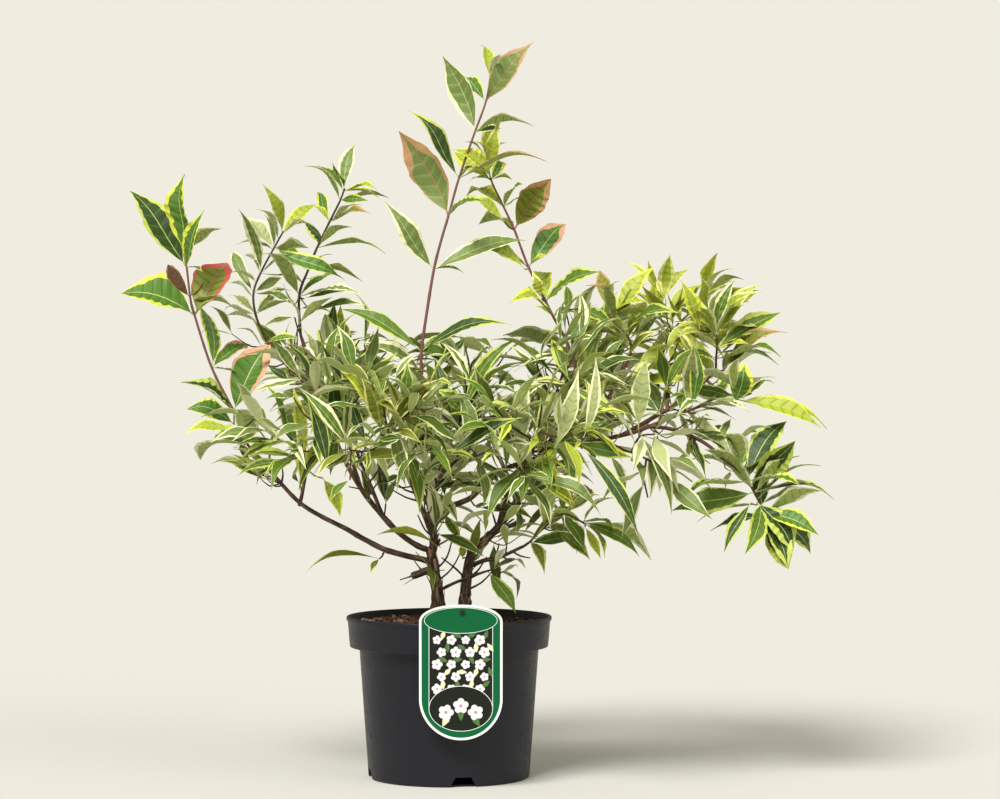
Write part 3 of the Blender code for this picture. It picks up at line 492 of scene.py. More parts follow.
# %% Compost finishes
def crumbly(name, dark, light, grain_mm):
    """Moist bark: dark and light crumbs of a given size, rough, with a deep relief."""
    material, shader = new_material(name, dark, 0.95, specular=0.3)
    crumbs = add_noise(material, object_place(material), 1 / (grain_mm * MM), 6.0, Roughness=0.75)
    join(material, add_ramp(material, crumbs, (0.38, dark), (0.68, light)), shader, "Base Color")
    add_relief(material, shader, crumbs, 0.8, 1.5)
    return material


compost_bed = crumbly("moist bark compost", "#1E1512", "#4A3026", 4.0)
red_chip = crumbly("red bark chip", "#4C2E24", "#744E3A", 3.0)
brown_chip = crumbly("brown bark chip", "#33241C", "#5A4232", 3.0)
dry_chip = crumbly("dry pale chip", "#7A6250", "#A68E74", 3.0)
print("compost finishes", compost_bed.name, red_chip.name, brown_chip.name, dry_chip.name)

# %% [markdown]
# The bed is turned like the pot, as a thin slice of compost. Its top is then pushed up and down by a mound
# and by two sizes of noise, one for lumps and one for crumbs.

# %% Compost bed
_, soil_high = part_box("soil")
SOIL_TOP = soil_high.z / MM
SOIL_EDGE_RADIUS = BAND_TOP_RADIUS - WALL - 0.9
SOIL_RINGS = 26
BED_TURNS = 110
BED_DEPTH = 22.0
BED_TAPER = 1.2
MOUND = 3.4
MOUND_FROM = 20.0
MOUND_WIDTH = 90.0
LUMP = 24.0
LUMP_RELIEF = 2.2
CRUMB = 3.2
CRUMB_RELIEF = 1.5


def soil_height(x, y):
    """The bed's height in millimetres: a low mound on the left, with soft lumps."""
    away = math.hypot(x, y) / SOIL_EDGE_RADIUS
    mound = MOUND * max(0.0, min(1.0, (MOUND_FROM - x) / MOUND_WIDTH)) * max(0.0, 1 - away**4)
    lumps = noise.fractal(Vector((x / LUMP, y / LUMP, 3.0)), 0.7, 2.0, 4) * LUMP_RELIEF
    return SOIL_TOP - 0.4 - 3.4 * away**2 + mound + lumps * min(1.0, away * 2)


bed_section = [(SOIL_EDGE_RADIUS * ring / SOIL_RINGS, SOIL_TOP) for ring in range(SOIL_RINGS + 1)]
bed_section += [(SOIL_EDGE_RADIUS - BED_TAPER, SOIL_TOP - BED_DEPTH), (0.0, SOIL_TOP - BED_DEPTH)]
bed_shape = turned(bed_section, BED_TURNS)
for corner in bed_shape.verts:
    if corner.co.z > (SOIL_TOP - 1) * MM:
        x, y = corner.co.x / MM, corner.co.y / MM
        crumbs = noise.noise(Vector((x / CRUMB, y / CRUMB, 9.0))) * CRUMB_RELIEF
        corner.co.z = (soil_height(x, y) + crumbs) * MM
bed_mesh = to_mesh(bed_shape, "compost_bed")
bed_mesh.materials.append(compost_bed)
bed = new_piece("compost_bed", bed_mesh, ["soil"], sharp=60.0)
print("compost bed", len(bed_mesh.polygons), "faces")

# %% [markdown]
# A bark chip is a broken flat splinter. A cube with its corners pushed about at random makes a good one,
# because its facets catch the light as a broken face does. A handful of such chips, each turned and sized
# anew wherever it is laid, is enough for the whole bed.

# %% Bark chips
CHIPS = 1500
CHIP_KINDS = 12
CHIP_SIZE = (2.5, 13.0, 4.0)
CHIP_TILT = {"X": 0.4, "Y": 0.3}
CHIP_FINISHES = (red_chip, brown_chip, compost_bed, dry_chip)
CHIP_SHARES = (5, 5, 4, 1)
FIBRES = 160
FIBRE_LENGTH = (8, 24)
FIBRE_THICK = 0.8
FIBRE_TILT = {"Y": 0.12}
CLEAR_OF_WALL = 7.0


def chip_form(chance):
    """A splinter about 1 unit long, as corners and faces."""
    shape = bmesh.new()
    bmesh.ops.create_cube(shape, size=1.0)
    sides = (1.0, chance.uniform(0.35, 0.7), chance.uniform(0.14, 0.34))
    bmesh.ops.scale(shape, vec=sides, verts=shape.verts)
    for corner in shape.verts:
        corner.co += Vector(chance.uniform(-0.13, 0.13) for _ in range(3))
    bmesh.ops.triangulate(shape, faces=shape.faces)
    return to_lists(shape)


def bed_spot(clear, chance):
    """A place on the bed by chance, so far from its edge."""
    away = (SOIL_EDGE_RADIUS - clear) * math.sqrt(chance.random())
    angle = chance.uniform(0, 2 * math.pi)
    return away * math.cos(angle), away * math.sin(angle)


def tumbled(tilts, chance):
    """A turn about the upright by chance, with a slight tilt about each of the named axes."""
    turn = Matrix.Rotation(chance.uniform(0, 2 * math.pi), 4, "Z")
    for axis, spread in tilts.items():
        turn = turn @ Matrix.Rotation(chance.gauss(0, spread), 4, axis)
    return turn


chance = random.Random("bark chips")
chip_forms = [chip_form(chance) for _ in range(CHIP_KINDS)]
chips = Gathered("bark_chips")
for number in range(CHIPS):
    x, y = bed_spot(CLEAR_OF_WALL, chance)
    size = chance.triangular(*CHIP_SIZE)
    turn = tumbled(CHIP_TILT, chance)
    spot = Vector((x, y, soil_height(x, y) + size * 0.08)) * MM
    place = Matrix.Translation(spot) @ turn @ Matrix.Scale(size * MM, 4)
    corners, faces = chance.choice(chip_forms)
    finish = chance.choices(CHIP_FINISHES, CHIP_SHARES)[0]
    chips.add([place @ corner for corner in corners], faces, [finish] * len(faces))
for number in range(FIBRES):
    x, y = bed_spot(CLEAR_OF_WALL + 6, chance)
    long = chance.uniform(*FIBRE_LENGTH)
    turn = tumbled(FIBRE_TILT, chance)
    spot = Vector((x, y, soil_height(x, y) + 1.4)) * MM
    thin = Matrix.Diagonal((long * MM, FIBRE_THICK * MM, FIBRE_THICK * MM, 1.0))
    place = Matrix.Translation(spot) @ turn @ thin
    corners, faces = chance.choice(chip_forms)
    chips.add([place @ corner for corner in corners], faces, [dry_chip] * len(faces))
chips.piece("compost", sharp=20.0)

# %% [markdown]
# The label is a card of white plastic, printed and clear-coated. Its print is a few very thin inks, one on
# top of another: a green frame, a green oval at the top, a dark picture panel and an oval at the foot, each
# with a fine white line round it. The real card's words and photo stay off. The ovals are left bare, and
# the panel holds a plain pattern of five-petalled blossoms in rows. Each ink is a flat shape of its own,
# raised by a few hundredths of a millimetre, so that its edge is crisp at any distance.

# %% Label finishes
def printed(name, base):
    """Ink under a clear coat: nearly smooth, with a faint orange-peel ripple a few millimetres wide."""
    material, shader = new_material(name, base, 0.28, specular=0.15)
    shader.inputs["Coat Weight"].default_value = 0.05
    shader.inputs["Coat Roughness"].default_value = 0.12
    ripple = add_noise(material, object_place(material), 1 / (5 * MM), 1.0)
    add_relief(material, shader, ripple, 0.08, 0.3)
    return material


card_white = printed("white polypropylene card", "#E9ECE6")
ink_green = printed("leaf green ink", "#055C33")
ink_dark = printed("shadow green ink", "#1B1F17")
ink_leaf = printed("foliage green ink", "#4F7040")
ink_cream = printed("cream ink", "#D9DDB0")
ink_petal = printed("petal white ink", "#E2DADB")
ink_heart = printed("blossom heart ink", "#B9868C")

# %% [markdown]
# The card is a flat plate with the outline of its solid: a half-round foot, straight sides, and a shallow
# arch with round shoulders on top, with a small hole for the clip. The outline is a circle pulled apart.

# %% Label card
label_low, label_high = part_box("label")
LABEL_X = (label_low.x + label_high.x) / 2 / MM
LABEL_HALF = (label_high.x - label_low.x) / 2 / MM
LABEL_FOOT = label_low.z / MM
LABEL_TOP = label_high.z / MM
LABEL_FRONT = label_low.y / MM
LABEL_BACK = label_high.y / MM
CORNER_SQUARENESS = 0.92
SHOULDER_DROP = 19.0
HOLE = Vector((16.5, 0, 192.2))
HOLE_RADIUS = 2.0
OUTLINE_STEPS = 96


def card_outline(inset):
    """The card's outline drawn in by inset: a half-round foot and a shallow arch with round shoulders."""
    shape = bmesh.new()
    bmesh.ops.create_circle(shape, cap_ends=False, segments=OUTLINE_STEPS, radius=1.0)
    half = LABEL_HALF - inset
    foot = LABEL_FOOT + LABEL_HALF
    shoulder = LABEL_TOP - SHOULDER_DROP
    for corner in shape.verts:
        x, z = corner.co.x, corner.co.y
        if z < -1e-6:
            corner.co = Vector((LABEL_X + half * x, 0, foot + half * z))
        else:
            x = math.copysign(abs(x) ** CORNER_SQUARENESS, x)
            z = abs(z) ** CORNER_SQUARENESS
            corner.co = Vector((LABEL_X + half * x, 0, shoulder + (SHOULDER_DROP - inset) * z))
    return shape


def flat_plate(shape, front, thick):
    """Fills an outline and gives it a thickness backwards from its front, all in millimetres."""
    bmesh.ops.triangle_fill(shape, edges=shape.edges, use_beauty=True)
    for corner in shape.verts:
        corner.co.y = front
    sides = bmesh.ops.extrude_face_region(shape, geom=list(shape.faces))["geom"]
    moved = [part for part in sides if isinstance(part, bmesh.types.BMVert)]
    bmesh.ops.translate(shape, vec=(0, thick, 0), verts=moved)
    bmesh.ops.recalc_face_normals(shape, faces=shape.faces)
    bmesh.ops.scale(shape, vec=(MM, MM, MM), verts=shape.verts)
    return shape


def round_hole(shape, radius):
    made = bmesh.ops.create_circle(shape, cap_ends=False, segments=20, radius=radius)["verts"]
    for corner in made:
        corner.co = Vector((HOLE.x + corner.co.x, 0, HOLE.z + corner.co.y))


card_shape = card_outline(0.0)
round_hole(card_shape, HOLE_RADIUS)
card = Gathered("label_card")
card_front = LABEL_FRONT + 0.08
card.add_shape(flat_plate(card_shape, card_front, LABEL_BACK - LABEL_FRONT - 0.08), card_white)
card_piece = card.piece("label_card", ["label"], sharp=30.0)

# %% [markdown]
# The inks follow from the card's own outline: the frame is that outline drawn in by a few millimetres, and
# the ovals are circles scaled to fit across it. A blossom is five round petals about a small heart, and the
# rows are offset like bricks, with a leaf between neighbours.

# %% Label print
INK = 0.02
EDGE_LINE = 0.6
FRAME_INSET = 2.6
HEADER = Vector((LABEL_X, 0, LABEL_TOP - 17.0))
HEADER_HALF = (39.0, 13.6)
PANEL_HALF = 34.0
PANEL_TOP = LABEL_TOP - 17.0
PANEL_FOOT = LABEL_FOOT + 32.0
MEDAL = Vector((LABEL_X, 0, LABEL_FOOT + 34.0))
MEDAL_HALF = (34.0, 24.0)
PETALS = 5
BLOSSOM_ROWS = 5
BLOSSOM_COLUMNS = 4
BLOSSOM_STEP = (15.4, 13.2)
BLOSSOM_START = (-25.0, -21.0)
ROW_SHIFTS = (-0.6, 4.2)
BLOSSOM_SIZE = (4.6, 6.0)
MEDAL_SIZE = 8.2
inks = Gathered("label_print")


def lay(shape, layer, finish):
    inks.add_shape(flat_plate(shape, card_front - INK * layer, INK * 0.6), finish)


def oval(middle, halves, layer, finish, hole=False, steps=56, grown=0.0):
    shape = bmesh.new()
    bmesh.ops.create_circle(shape, cap_ends=False, segments=steps, radius=1.0)
    wide, high = halves[0] + grown, halves[1] + grown
    for corner in shape.verts:
        corner.co = Vector((middle.x + wide * corner.co.x, 0, middle.z + high * corner.co.y))
    if hole:
        round_hole(shape, HOLE_RADIUS + 0.5)
    lay(shape, layer, finish)


def panel(half, layer, finish):
    """An upright oblong across the card, with half of its width given."""
    shape = bmesh.new()
    bmesh.ops.create_circle(shape, cap_ends=False, segments=4, radius=1.0)
    for corner in shape.verts:
        aside = half if corner.co.x + corner.co.y > 0 else -half
        height = PANEL_TOP if corner.co.y - corner.co.x > 0 else PANEL_FOOT
        corner.co = Vector((LABEL_X + aside, 0, height))
    lay(shape, layer, finish)


def blossom(middle, radius, layer, turn):
    """One blossom: round petals and a heart."""
    for number in range(PETALS):
        angle = turn + math.radians(360 / PETALS * number)
        petal = middle + Vector((math.cos(angle), 0, math.sin(angle))) * radius * 0.6
        oval(petal, (radius * 0.44, radius * 0.44), layer + number * 0.12, ink_petal, steps=12)
    oval(middle, (radius * 0.20, radius * 0.20), layer + 1, ink_heart, steps=8)


def print_leaf(middle, length, angle, layer, finish):
    """A pointed oval: a circle drawn out to two tips."""
    shape = bmesh.new()
    bmesh.ops.create_circle(shape, cap_ends=False, segments=14, radius=1.0)
    way = Vector((math.cos(angle), 0, math.sin(angle)))
    across = Vector((-way.z, 0, way.x))
    for corner in shape.verts:
        x, z = corner.co.x, corner.co.y * (1 - 0.6 * abs(corner.co.x))
        corner.co = middle + way * x * length / 2 + across * z * length * 0.24
    lay(shape, layer, finish)


frame_shape = card_outline(FRAME_INSET)
round_hole(frame_shape, HOLE_RADIUS + 0.5)
lay(frame_shape, 1, ink_green)
panel(PANEL_HALF + EDGE_LINE, 2, card_white)
panel(PANEL_HALF, 3, ink_dark)
chance = random.Random("label print")
for row in range(BLOSSOM_ROWS):
    for column in range(BLOSSOM_COLUMNS):
        x = LABEL_X + BLOSSOM_START[0] + BLOSSOM_STEP[0] * column + ROW_SHIFTS[row % 2]
        middle = Vector((x, 0, PANEL_TOP + BLOSSOM_START[1] - BLOSSOM_STEP[1] * row))
        leaf_turn = chance.uniform(0, math.pi)
        print_leaf(middle + Vector((6.4, 0, 5.2)), 11.0, leaf_turn, 4, chance.choice((ink_leaf, ink_cream)))
        blossom(middle, chance.uniform(*BLOSSOM_SIZE), 5, chance.uniform(0, 1.2))
oval(MEDAL, MEDAL_HALF, 7, card_white, grown=EDGE_LINE)
oval(MEDAL, MEDAL_HALF, 8, ink_dark)
for number in range(3):
    place = MEDAL + Vector((-16 + 16 * number, 0, 3 if number == 1 else -4))
    print_leaf(place + Vector((0, 0, -8)), 16.0, 1.1 + 0.5 * number, 9, ink_leaf if number else ink_cream)
    blossom(place, MEDAL_SIZE, 10, 0.3 * number)
oval(HEADER, HEADER_HALF, 12, card_white, hole=True, grown=EDGE_LINE)
oval(HEADER, HEADER_HALF, 13, ink_green, hole=True)
inks.piece("label_card", sharp=30.0)

# %% [markdown]
# The clip that holds the card on the rim is a small moulded strap with a headed peg. Its solid in the frame
# already has its true shape, so it stays, and only takes its plastic.

# %% Label clip
clip = frame["nodes"]["label_clip"]
clip.data.materials.clear()
clip.data.materials.append(clip_plastic)
print("clip keeps its solid, in", clip_plastic.name)

# %% [markdown]
# The limbs follow the same table as the frame's solids. A place is given as it shows from the front at the
# depth of the pot's axis, with its real depth y beside it, and seen() slides it along the line of sight to
# that depth. A limb runs on a smooth curve through its places and tapers from its first radius to its last.

# %% Limb table
GAP = 0.3
LIMB_STEP = 26.0
FLARE = 4.5
FLARE_HEIGHT = 14.0
KNOT_SWELL = 0.10
STRAIGHT_START = 4.0

Limb = namedtuple("Limb", "parent first_radius last_radius points")

LIMBS = {
    "trunk_left": Limb(None, 6.6, 5.4, ((-13, 4, 172.3), (-12.5, 4, 195), (-14, 3, 212), (-18, 2, 235),
        (-19, 1, 246))),
    "trunk_right": Limb(None, 6.2, 5.0, ((17, -6, 172.3), (18, -6, 200), (20, -6, 225), (25, -5, 250))),
    "bough_leader": Limb("trunk_left", 5.0, 2.3, ((-19, 1, 246.4), (-17, 0, 262), (-19, -1, 289),
        (-25, 0, 334), (-28, 2, 379), (-31, 0, 440))),
    "bough_second_leader": Limb("trunk_right", 4.6, 2.1, ((25, -5, 250.4), (46, -4, 270), (63, 0, 289),
        (107, 14, 362), (138, 20, 429), (141, 22, 452))),
    "bough_left_arch": Limb("trunk_left", 3.4, 2.0, ((-17, 2, 236), (-27, 0, 242), (-72, -8, 254),
        (-117, -16, 278), (-167, -28, 306), (-210, -38, 354))),
    "bough_left_inner": Limb("bough_leader", 3.2, 1.9, ((-18, 0, 252), (-35, 6, 258), (-55, 12, 272),
        (-93, 24, 314), (-128, 36, 379), (-165, 50, 490))),
    "bough_left_outer": Limb("bough_left_inner", 2.2, 1.7, ((-137, 40, 405), (-160, 26, 440),
        (-184, 16, 463), (-204, 14, 488))),
    "bough_left_low": Limb("bough_left_arch", 2.2, 1.7, ((-167, -28, 306), (-163, -44, 325),
        (-160, -62, 345))),
    "bough_left_mid": Limb("bough_left_inner", 2.2, 1.8, ((-75, 18, 293), (-85, -6, 318), (-96, -26, 345))),
    "bough_left_back": Limb("bough_left_inner", 2.2, 1.8, ((-100, 28, 327), (-108, 60, 352),
        (-112, 88, 378))),
    "bough_front_left": Limb("bough_leader", 2.8, 1.8, ((-18, -1, 268), (-26, -26, 288), (-38, -62, 318),
        (-52, -100, 346))),
    "bough_front_right": Limb("bough_second_leader", 2.6, 1.8, ((55, -2, 280), (60, -30, 300),
        (68, -70, 322), (80, -110, 345))),
    "bough_back_left": Limb("bough_leader", 2.8, 1.8, ((-20, -1, 299), (-32, 30, 318), (-52, 75, 352),
        (-70, 110, 390))),
    "bough_back_centre": Limb("bough_second_leader", 2.6, 1.8, ((75, 4, 309), (66, 40, 335), (50, 85, 372),
        (36, 120, 410))),
    "bough_back_right": Limb("bough_second_leader", 2.4, 1.8, ((107, 14, 362), (118, 45, 385),
        (128, 85, 405), (135, 115, 425))),
    "bough_long_right": Limb("bough_leader", 3.2, 1.9, ((-19, -1, 289), (-3, -8, 300), (23, -18, 311),
        (57, -26, 341), (103, -29, 358), (147, -34, 372), (206, -40, 385), (250, -43, 403))),
    "bough_low_right": Limb("trunk_right", 2.8, 1.8, ((21, -6, 234), (40, -14, 242), (54, -20, 244),
        (80, -29, 256))),
    "bough_centre": Limb("bough_leader", 2.2, 1.7, ((-23, 0, 318), (-10, -22, 335), (6, -44, 352))),
    "bough_centre_right": Limb("bough_long_right", 2.0, 1.6, ((88, -28, 353), (96, -42, 372),
        (104, -56, 392))),
    "bough_right_under": Limb("bough_long_right", 2.0, 1.6, ((170, -36, 377), (182, -54, 372),
        (194, -72, 366))),
    "bough_upper_right": Limb("bough_long_right", 2.4, 1.8, ((130, -32, 367), (160, -20, 400),
        (185, -6, 435), (200, 4, 465))),
    "bough_outer_right": Limb("bough_long_right", 2.2, 1.7, ((195, -39, 383), (235, -20, 405),
        (272, 0, 428), (296, 14, 452))),
    "bough_crest": Limb("bough_outer_right", 1.9, 1.6, ((245, -15, 411), (244, 20, 440), (240, 52, 470))),
    "bough_right_drop": Limb("bough_long_right", 2.2, 1.7, ((225, -41, 392), (252, -56, 388),
        (285, -66, 374), (312, -70, 352))),
    "bough_low_twig": Limb("trunk_left", 1.8, 1.3, ((-13, 3, 207), (5, -14, 216), (25, -26, 224),
        (40, -32, 229))),
    "stub_pruned": Limb("trunk_left", 4.2, 3.8, ((-16, 2, 232), (-28, -4, 229), (-41, -10, 224))),
    "stub_broken": Limb("bough_second_leader", 2.8, 2.2, ((46, -4, 270), (62, -16, 278), (78, -24, 284))),
}

print(len(LIMBS), "limbs")

# %% [markdown]
# The lines are worked out by the same rule as the solids, from the same seeds, so that bark and leaves lie
# where the solids do.

# %% Limb lines
def seen(x, y, z):
    """The point at depth y that shows at x and z from the front, in metres."""
    further = (VIEW_AWAY + y) / VIEW_AWAY
    return Vector((VIEW_X + (x - VIEW_X) * further, y, VIEW_Z + (z - VIEW_Z) * further)) * MM


def finer(line, values, step):
    """Points a step apart on a smooth curve through a line's points, and a value at each."""
    fine_line = []
    fine_values = []
    ends = [line[0] * 2 - line[1], *line, line[-1] * 2 - line[-2]]
    for number in range(len(line) - 1):
        before, start, end, after = ends[number : number + 4]
        pieces = max(1, round((end - start).length / step))
        for piece in range(pieces):
            share = piece / pieces
            straight = 2 * start + (end - before) * share
            bend = (2 * before - 5 * start + 4 * end - after) * share**2
            twist = (3 * start - before - 3 * end + after) * share**3
            fine_line.append(0.5 * (straight + bend + twist))
            fine_values.append(values[number] + (values[number + 1] - values[number]) * share)
    return [*fine_line, line[-1]], [*fine_values, values[-1]]


def smooth_line(points, step):
    return finer(points, [0.0] * len(points), step)[0]


def limb_points(name):
    """A limb's own points. One that goes on from another's tip starts square to it, a gap away."""
    limb = LIMBS[name]
    points = [seen(*point) for point in limb.points]
    if limb.parent is None:
        points[0].z = (SOIL_TOP + GAP) * MM
        return [points[0], points[0] + Vector((0, 0, STRAIGHT_START * MM)), *points[1:]]
    tip = seen(*LIMBS[limb.parent].points[-1])
    if (points[0] - tip).length < 2 * MM:
        start, way = next_start(limb.parent)
        return [start, start + way * STRAIGHT_START * MM, *points[1:]]
    return points


def next_start(name):
    """Where growth goes on past a limb's tip, and its way."""
    line, _ = limb_line(name)
    way = (line[-1] - line[-2]).normalized()
    return line[-1] + way * GAP * MM, way


def limb_line(name):
    """A limb's line, and its radius in millimetres at each point, with the knots that the solids have."""
    limb = LIMBS[name]
    line = smooth_line(limb_points(name), LIMB_STEP * MM)
    chance = random.Random(name)
    radii = []
    for number, place in enumerate(line):
        share = number / (len(line) - 1)
        radius = limb.first_radius + (limb.last_radius - limb.first_radius) * share
        if 0 < number < len(line) - 1:
            radius *= 1 + chance.uniform(0, KNOT_SWELL)
        if limb.parent is None:
            radius += FLARE * math.exp(-(place.z / MM - SOIL_TOP) / FLARE_HEIGHT)
        radii.append(radius)
    return line, radii

print("the leader's bough has", len(limb_line("bough_leader")[0]), "points")

# %% [markdown]
# Weigela bark is grey-brown and splits lengthwise into narrow strips that peel, while shoots of the last
# year or two are smooth and reddish. The furrows have to run along each limb, whichever way it leans, so
# every corner of a limb carries its place on it: round the limb and along it, in millimetres. The pattern
# reads that place with the lengthwise part pressed together, which draws it out into furrows.

# %% Bark finish
FURROW = 2.4
FURROW_STRETCH = 0.16
BLOTCH = 11.0
SHOOT_STRETCH = 0.1
OLD_BELOW = 0.30
YOUNG_ABOVE = 0.50


def drawn_out(material, stretch):
    """The carried place with its lengthwise part pressed together, which draws a pattern out."""
    place = {"Vector": carried_place(material)}
    return add_node(material, "ShaderNodeMapping", {"Scale": (1.0, 1.0, stretch)}, place).outputs["Vector"]


def make_bark():
    """Flaking old bark that turns by height into the smooth reddish bark of young wood."""
    material, shader = new_material("weigela bark", "#5B4636", 0.85, specular=0.3)
    long_place = drawn_out(material, FURROW_STRETCH)
    furrows = add_noise(material, long_place, 1 / FURROW, 5.0, Roughness=0.65, Distortion=0.4)
    old = add_ramp(material, furrows, (0.34, "#1F1611"), (0.72, "#A08A74"), [(0.52, "#5C4738")])
    blotches = add_noise(material, carried_place(material), 1 / BLOTCH, 3.0)
    young = add_mix(material, blotches, "#4A2A22", "#8C5A48")
    place = add_node(material, "ShaderNodeSeparateXYZ", links={"Vector": object_place(material)})
    age = add_range(material, place.outputs["Z"], OLD_BELOW, YOUNG_ABOVE)
    tone = add_node(material, "ShaderNodeMix", {"data_type": "RGBA"}, {0: age, 6: old, 7: young})
    join(material, tone.outputs[2], shader, "Base Color")
    add_relief(material, shader, furrows, 0.7, 0.8)
    return material


def shoot_skin(name, base, roughness):
    """Skin of this year's shoots: one plain tone with fine lengthwise lines in its relief."""
    material, shader = new_material(name, base, roughness, specular=0.35)
    lines = add_noise(material, drawn_out(material, SHOOT_STRETCH), 1.6, 3.0)
    add_relief(material, shader, lines, 0.4, 0.3)
    return material


bark = make_bark()
inner_bark = shoot_skin("pale inner bark", "#A88A6C", 0.8)
red_shoot = shoot_skin("reddish young shoot", "#754C43", 0.55)
green_shoot = shoot_skin("green young shoot", "#8B8F4A", 0.5)
brown_twig = shoot_skin("brown twig", "#4A3428", 0.75)
dry_twig = shoot_skin("dry grey twig", "#57493C", 0.85)
print("bark and shoot finishes ready")

# %% [markdown]
# A limb starts as one circle of edges. Each step extrudes the circle, moves the new ring on along the limb
# and fits it to the radius there, so the tube is drawn as one would by hand. Every corner remembers its
# number in the ring, which gives its angle: ridges, knots and the swelling at each pair of buds are then a
# factor on the radius that depends on the angle and on the length along.

# %% Sweeping a tube
NODE_SPACING = 42.0
NODE_WIDTH = 3.0
OLD_LIMBS = ("trunk_left", "trunk_right", "stub_pruned", "stub_broken")
TRUNK_SIDES = 20
TRUNK_STEP = 2.5
BOUGH_SIDES = 12
BOUGH_STEP = 4.0
FOOT = 3.0
TO_NEXT_SEED = 3.7


def ring_frames(line):
    """Each ring's middle and two directions across it, turned as little as can be from ring to ring."""
    way = (line[1] - line[0]).normalized()
    across = way.orthogonal().normalized()
    frames = []
    for number, middle in enumerate(line):
        before = line[max(0, number - 1)]
        after = line[min(len(line) - 1, number + 1)]
        way = (after - before).normalized()
        across = (across - way * across.dot(way)).normalized()
        frames.append((middle, across, way.cross(across)))
    return frames


def sweep(line, radii, sides, relief=None):
    """A closed tube through points in metres, with a radius in millimetres at each."""
    shape = bmesh.new()
    side_of = shape.verts.layers.int.new("side")
    place_of = shape.verts.layers.float_vector.new("place")
    ring = bmesh.ops.create_circle(shape, cap_ends=True, segments=sides, radius=1.0)["verts"]
    rim = list(shape.edges)
    for number, corner in enumerate(ring):
        corner[side_of] = number
    along = 0.0
    for number, (middle, across, deep) in enumerate(ring_frames(line)):
        if number:
            made = bmesh.ops.extrude_edge_only(shape, edges=rim)["geom"]
            ring = [part for part in made if isinstance(part, bmesh.types.BMVert)]
            edges = [part for part in made if isinstance(part, bmesh.types.BMEdge)]
            rim = [edge for edge in edges if set(ring).issuperset(edge.verts)]
            along += (line[number] - line[number - 1]).length / MM
        for corner in ring:
            angle = 2 * math.pi * corner[side_of] / sides
            radius = radii[number]
            corner[place_of] = (math.cos(angle) * radius, math.sin(angle) * radius, along)
            if relief:
                radius *= relief(angle, along)
            corner.co = middle + (across * math.cos(angle) + deep * math.sin(angle)) * radius * MM
    bmesh.ops.contextual_create(shape, geom=rim)
    bmesh.ops.recalc_face_normals(shape, faces=shape.faces)
    return shape


def bark_relief(age, seed):
    """Ridges along the limb, deeper where it is old, and a swelling at each pair of buds."""

    def factor(angle, along):
        round_about = Vector((math.cos(angle) * 1.6, math.sin(angle) * 1.6, along / 16 + seed))
        ridges = noise.noise(round_about) * 0.16 + noise.noise(round_about * 2.7) * 0.08
        lumps = noise.noise(Vector((angle, along / 30, seed + 7))) * 0.10
        from_node = (along + seed * 9) % NODE_SPACING
        swelling = 0.20 * math.exp(-(((from_node - NODE_SPACING / 2) / NODE_WIDTH) ** 2))
        return 1 + age * (ridges + lumps) + (1 - 0.5 * age) * swelling

    return factor


limb_rings = 0
for number, (name, limb) in enumerate(LIMBS.items()):
    old = name in OLD_LIMBS
    line, radii = limb_line(name)
    line.insert(0, line[0] - (line[1] - line[0]).normalized() * FOOT * MM)
    radii.insert(0, radii[0])
    fine_line, fine_radii = finer(line, radii, (TRUNK_STEP if old else BOUGH_STEP) * MM)
    age = 1.0 if old else max(0.35, min(0.9, limb.first_radius / 4.5))
    relief = bark_relief(age, number * TO_NEXT_SEED)
    tube = Gathered(f"bark_{name}")
    tube.add_shape(sweep(fine_line, fine_radii, TRUNK_SIDES if old else BOUGH_SIDES, relief), bark)
    tube.piece("old_bark", [name], sharp=70.0)
    limb_rings += len(fine_line)
print(len(LIMBS), "limbs of", limb_rings, "rings")

# %% [markdown]
# The oldest bark lifts in strips. Each strip is a thin bent sliver, closed on all sides, that lies along
# its limb and stands off it at one end. A small grid is bent and given a thickness once, and that sliver is
# then laid many times, sized and turned anew.

# %% Peeling bark
FLAKES = {
    "trunk_left": 46,
    "trunk_right": 40,
    "stub_pruned": 12,
    "stub_broken": 14,
    "bough_leader": 34,
    "bough_second_leader": 34,
}
FLAKE_REACH = 0.45
FLAKE_LENGTH = (7, 36, 13)
FLAKE_WIDTH = (1.5, 4.4)
FLAKE_LIFT = (0.6, 6.0, 1.4)


def flake_form():
    """A sliver of unit length and width, lifted at its far end, as corners and faces."""
    shape = bmesh.new()
    bmesh.ops.create_grid(shape, x_segments=2, y_segments=5, size=0.5)
    bmesh.ops.solidify(shape, geom=list(shape.faces), thickness=0.10)
    for corner in shape.verts:
        share = corner.co.y + 0.5
        corner.co.x *= 1 - 0.5 * share
        corner.co.z += share**2 - 0.5 * abs(corner.co.x)
    bmesh.ops.triangulate(shape, faces=shape.faces)
    return to_lists(shape)


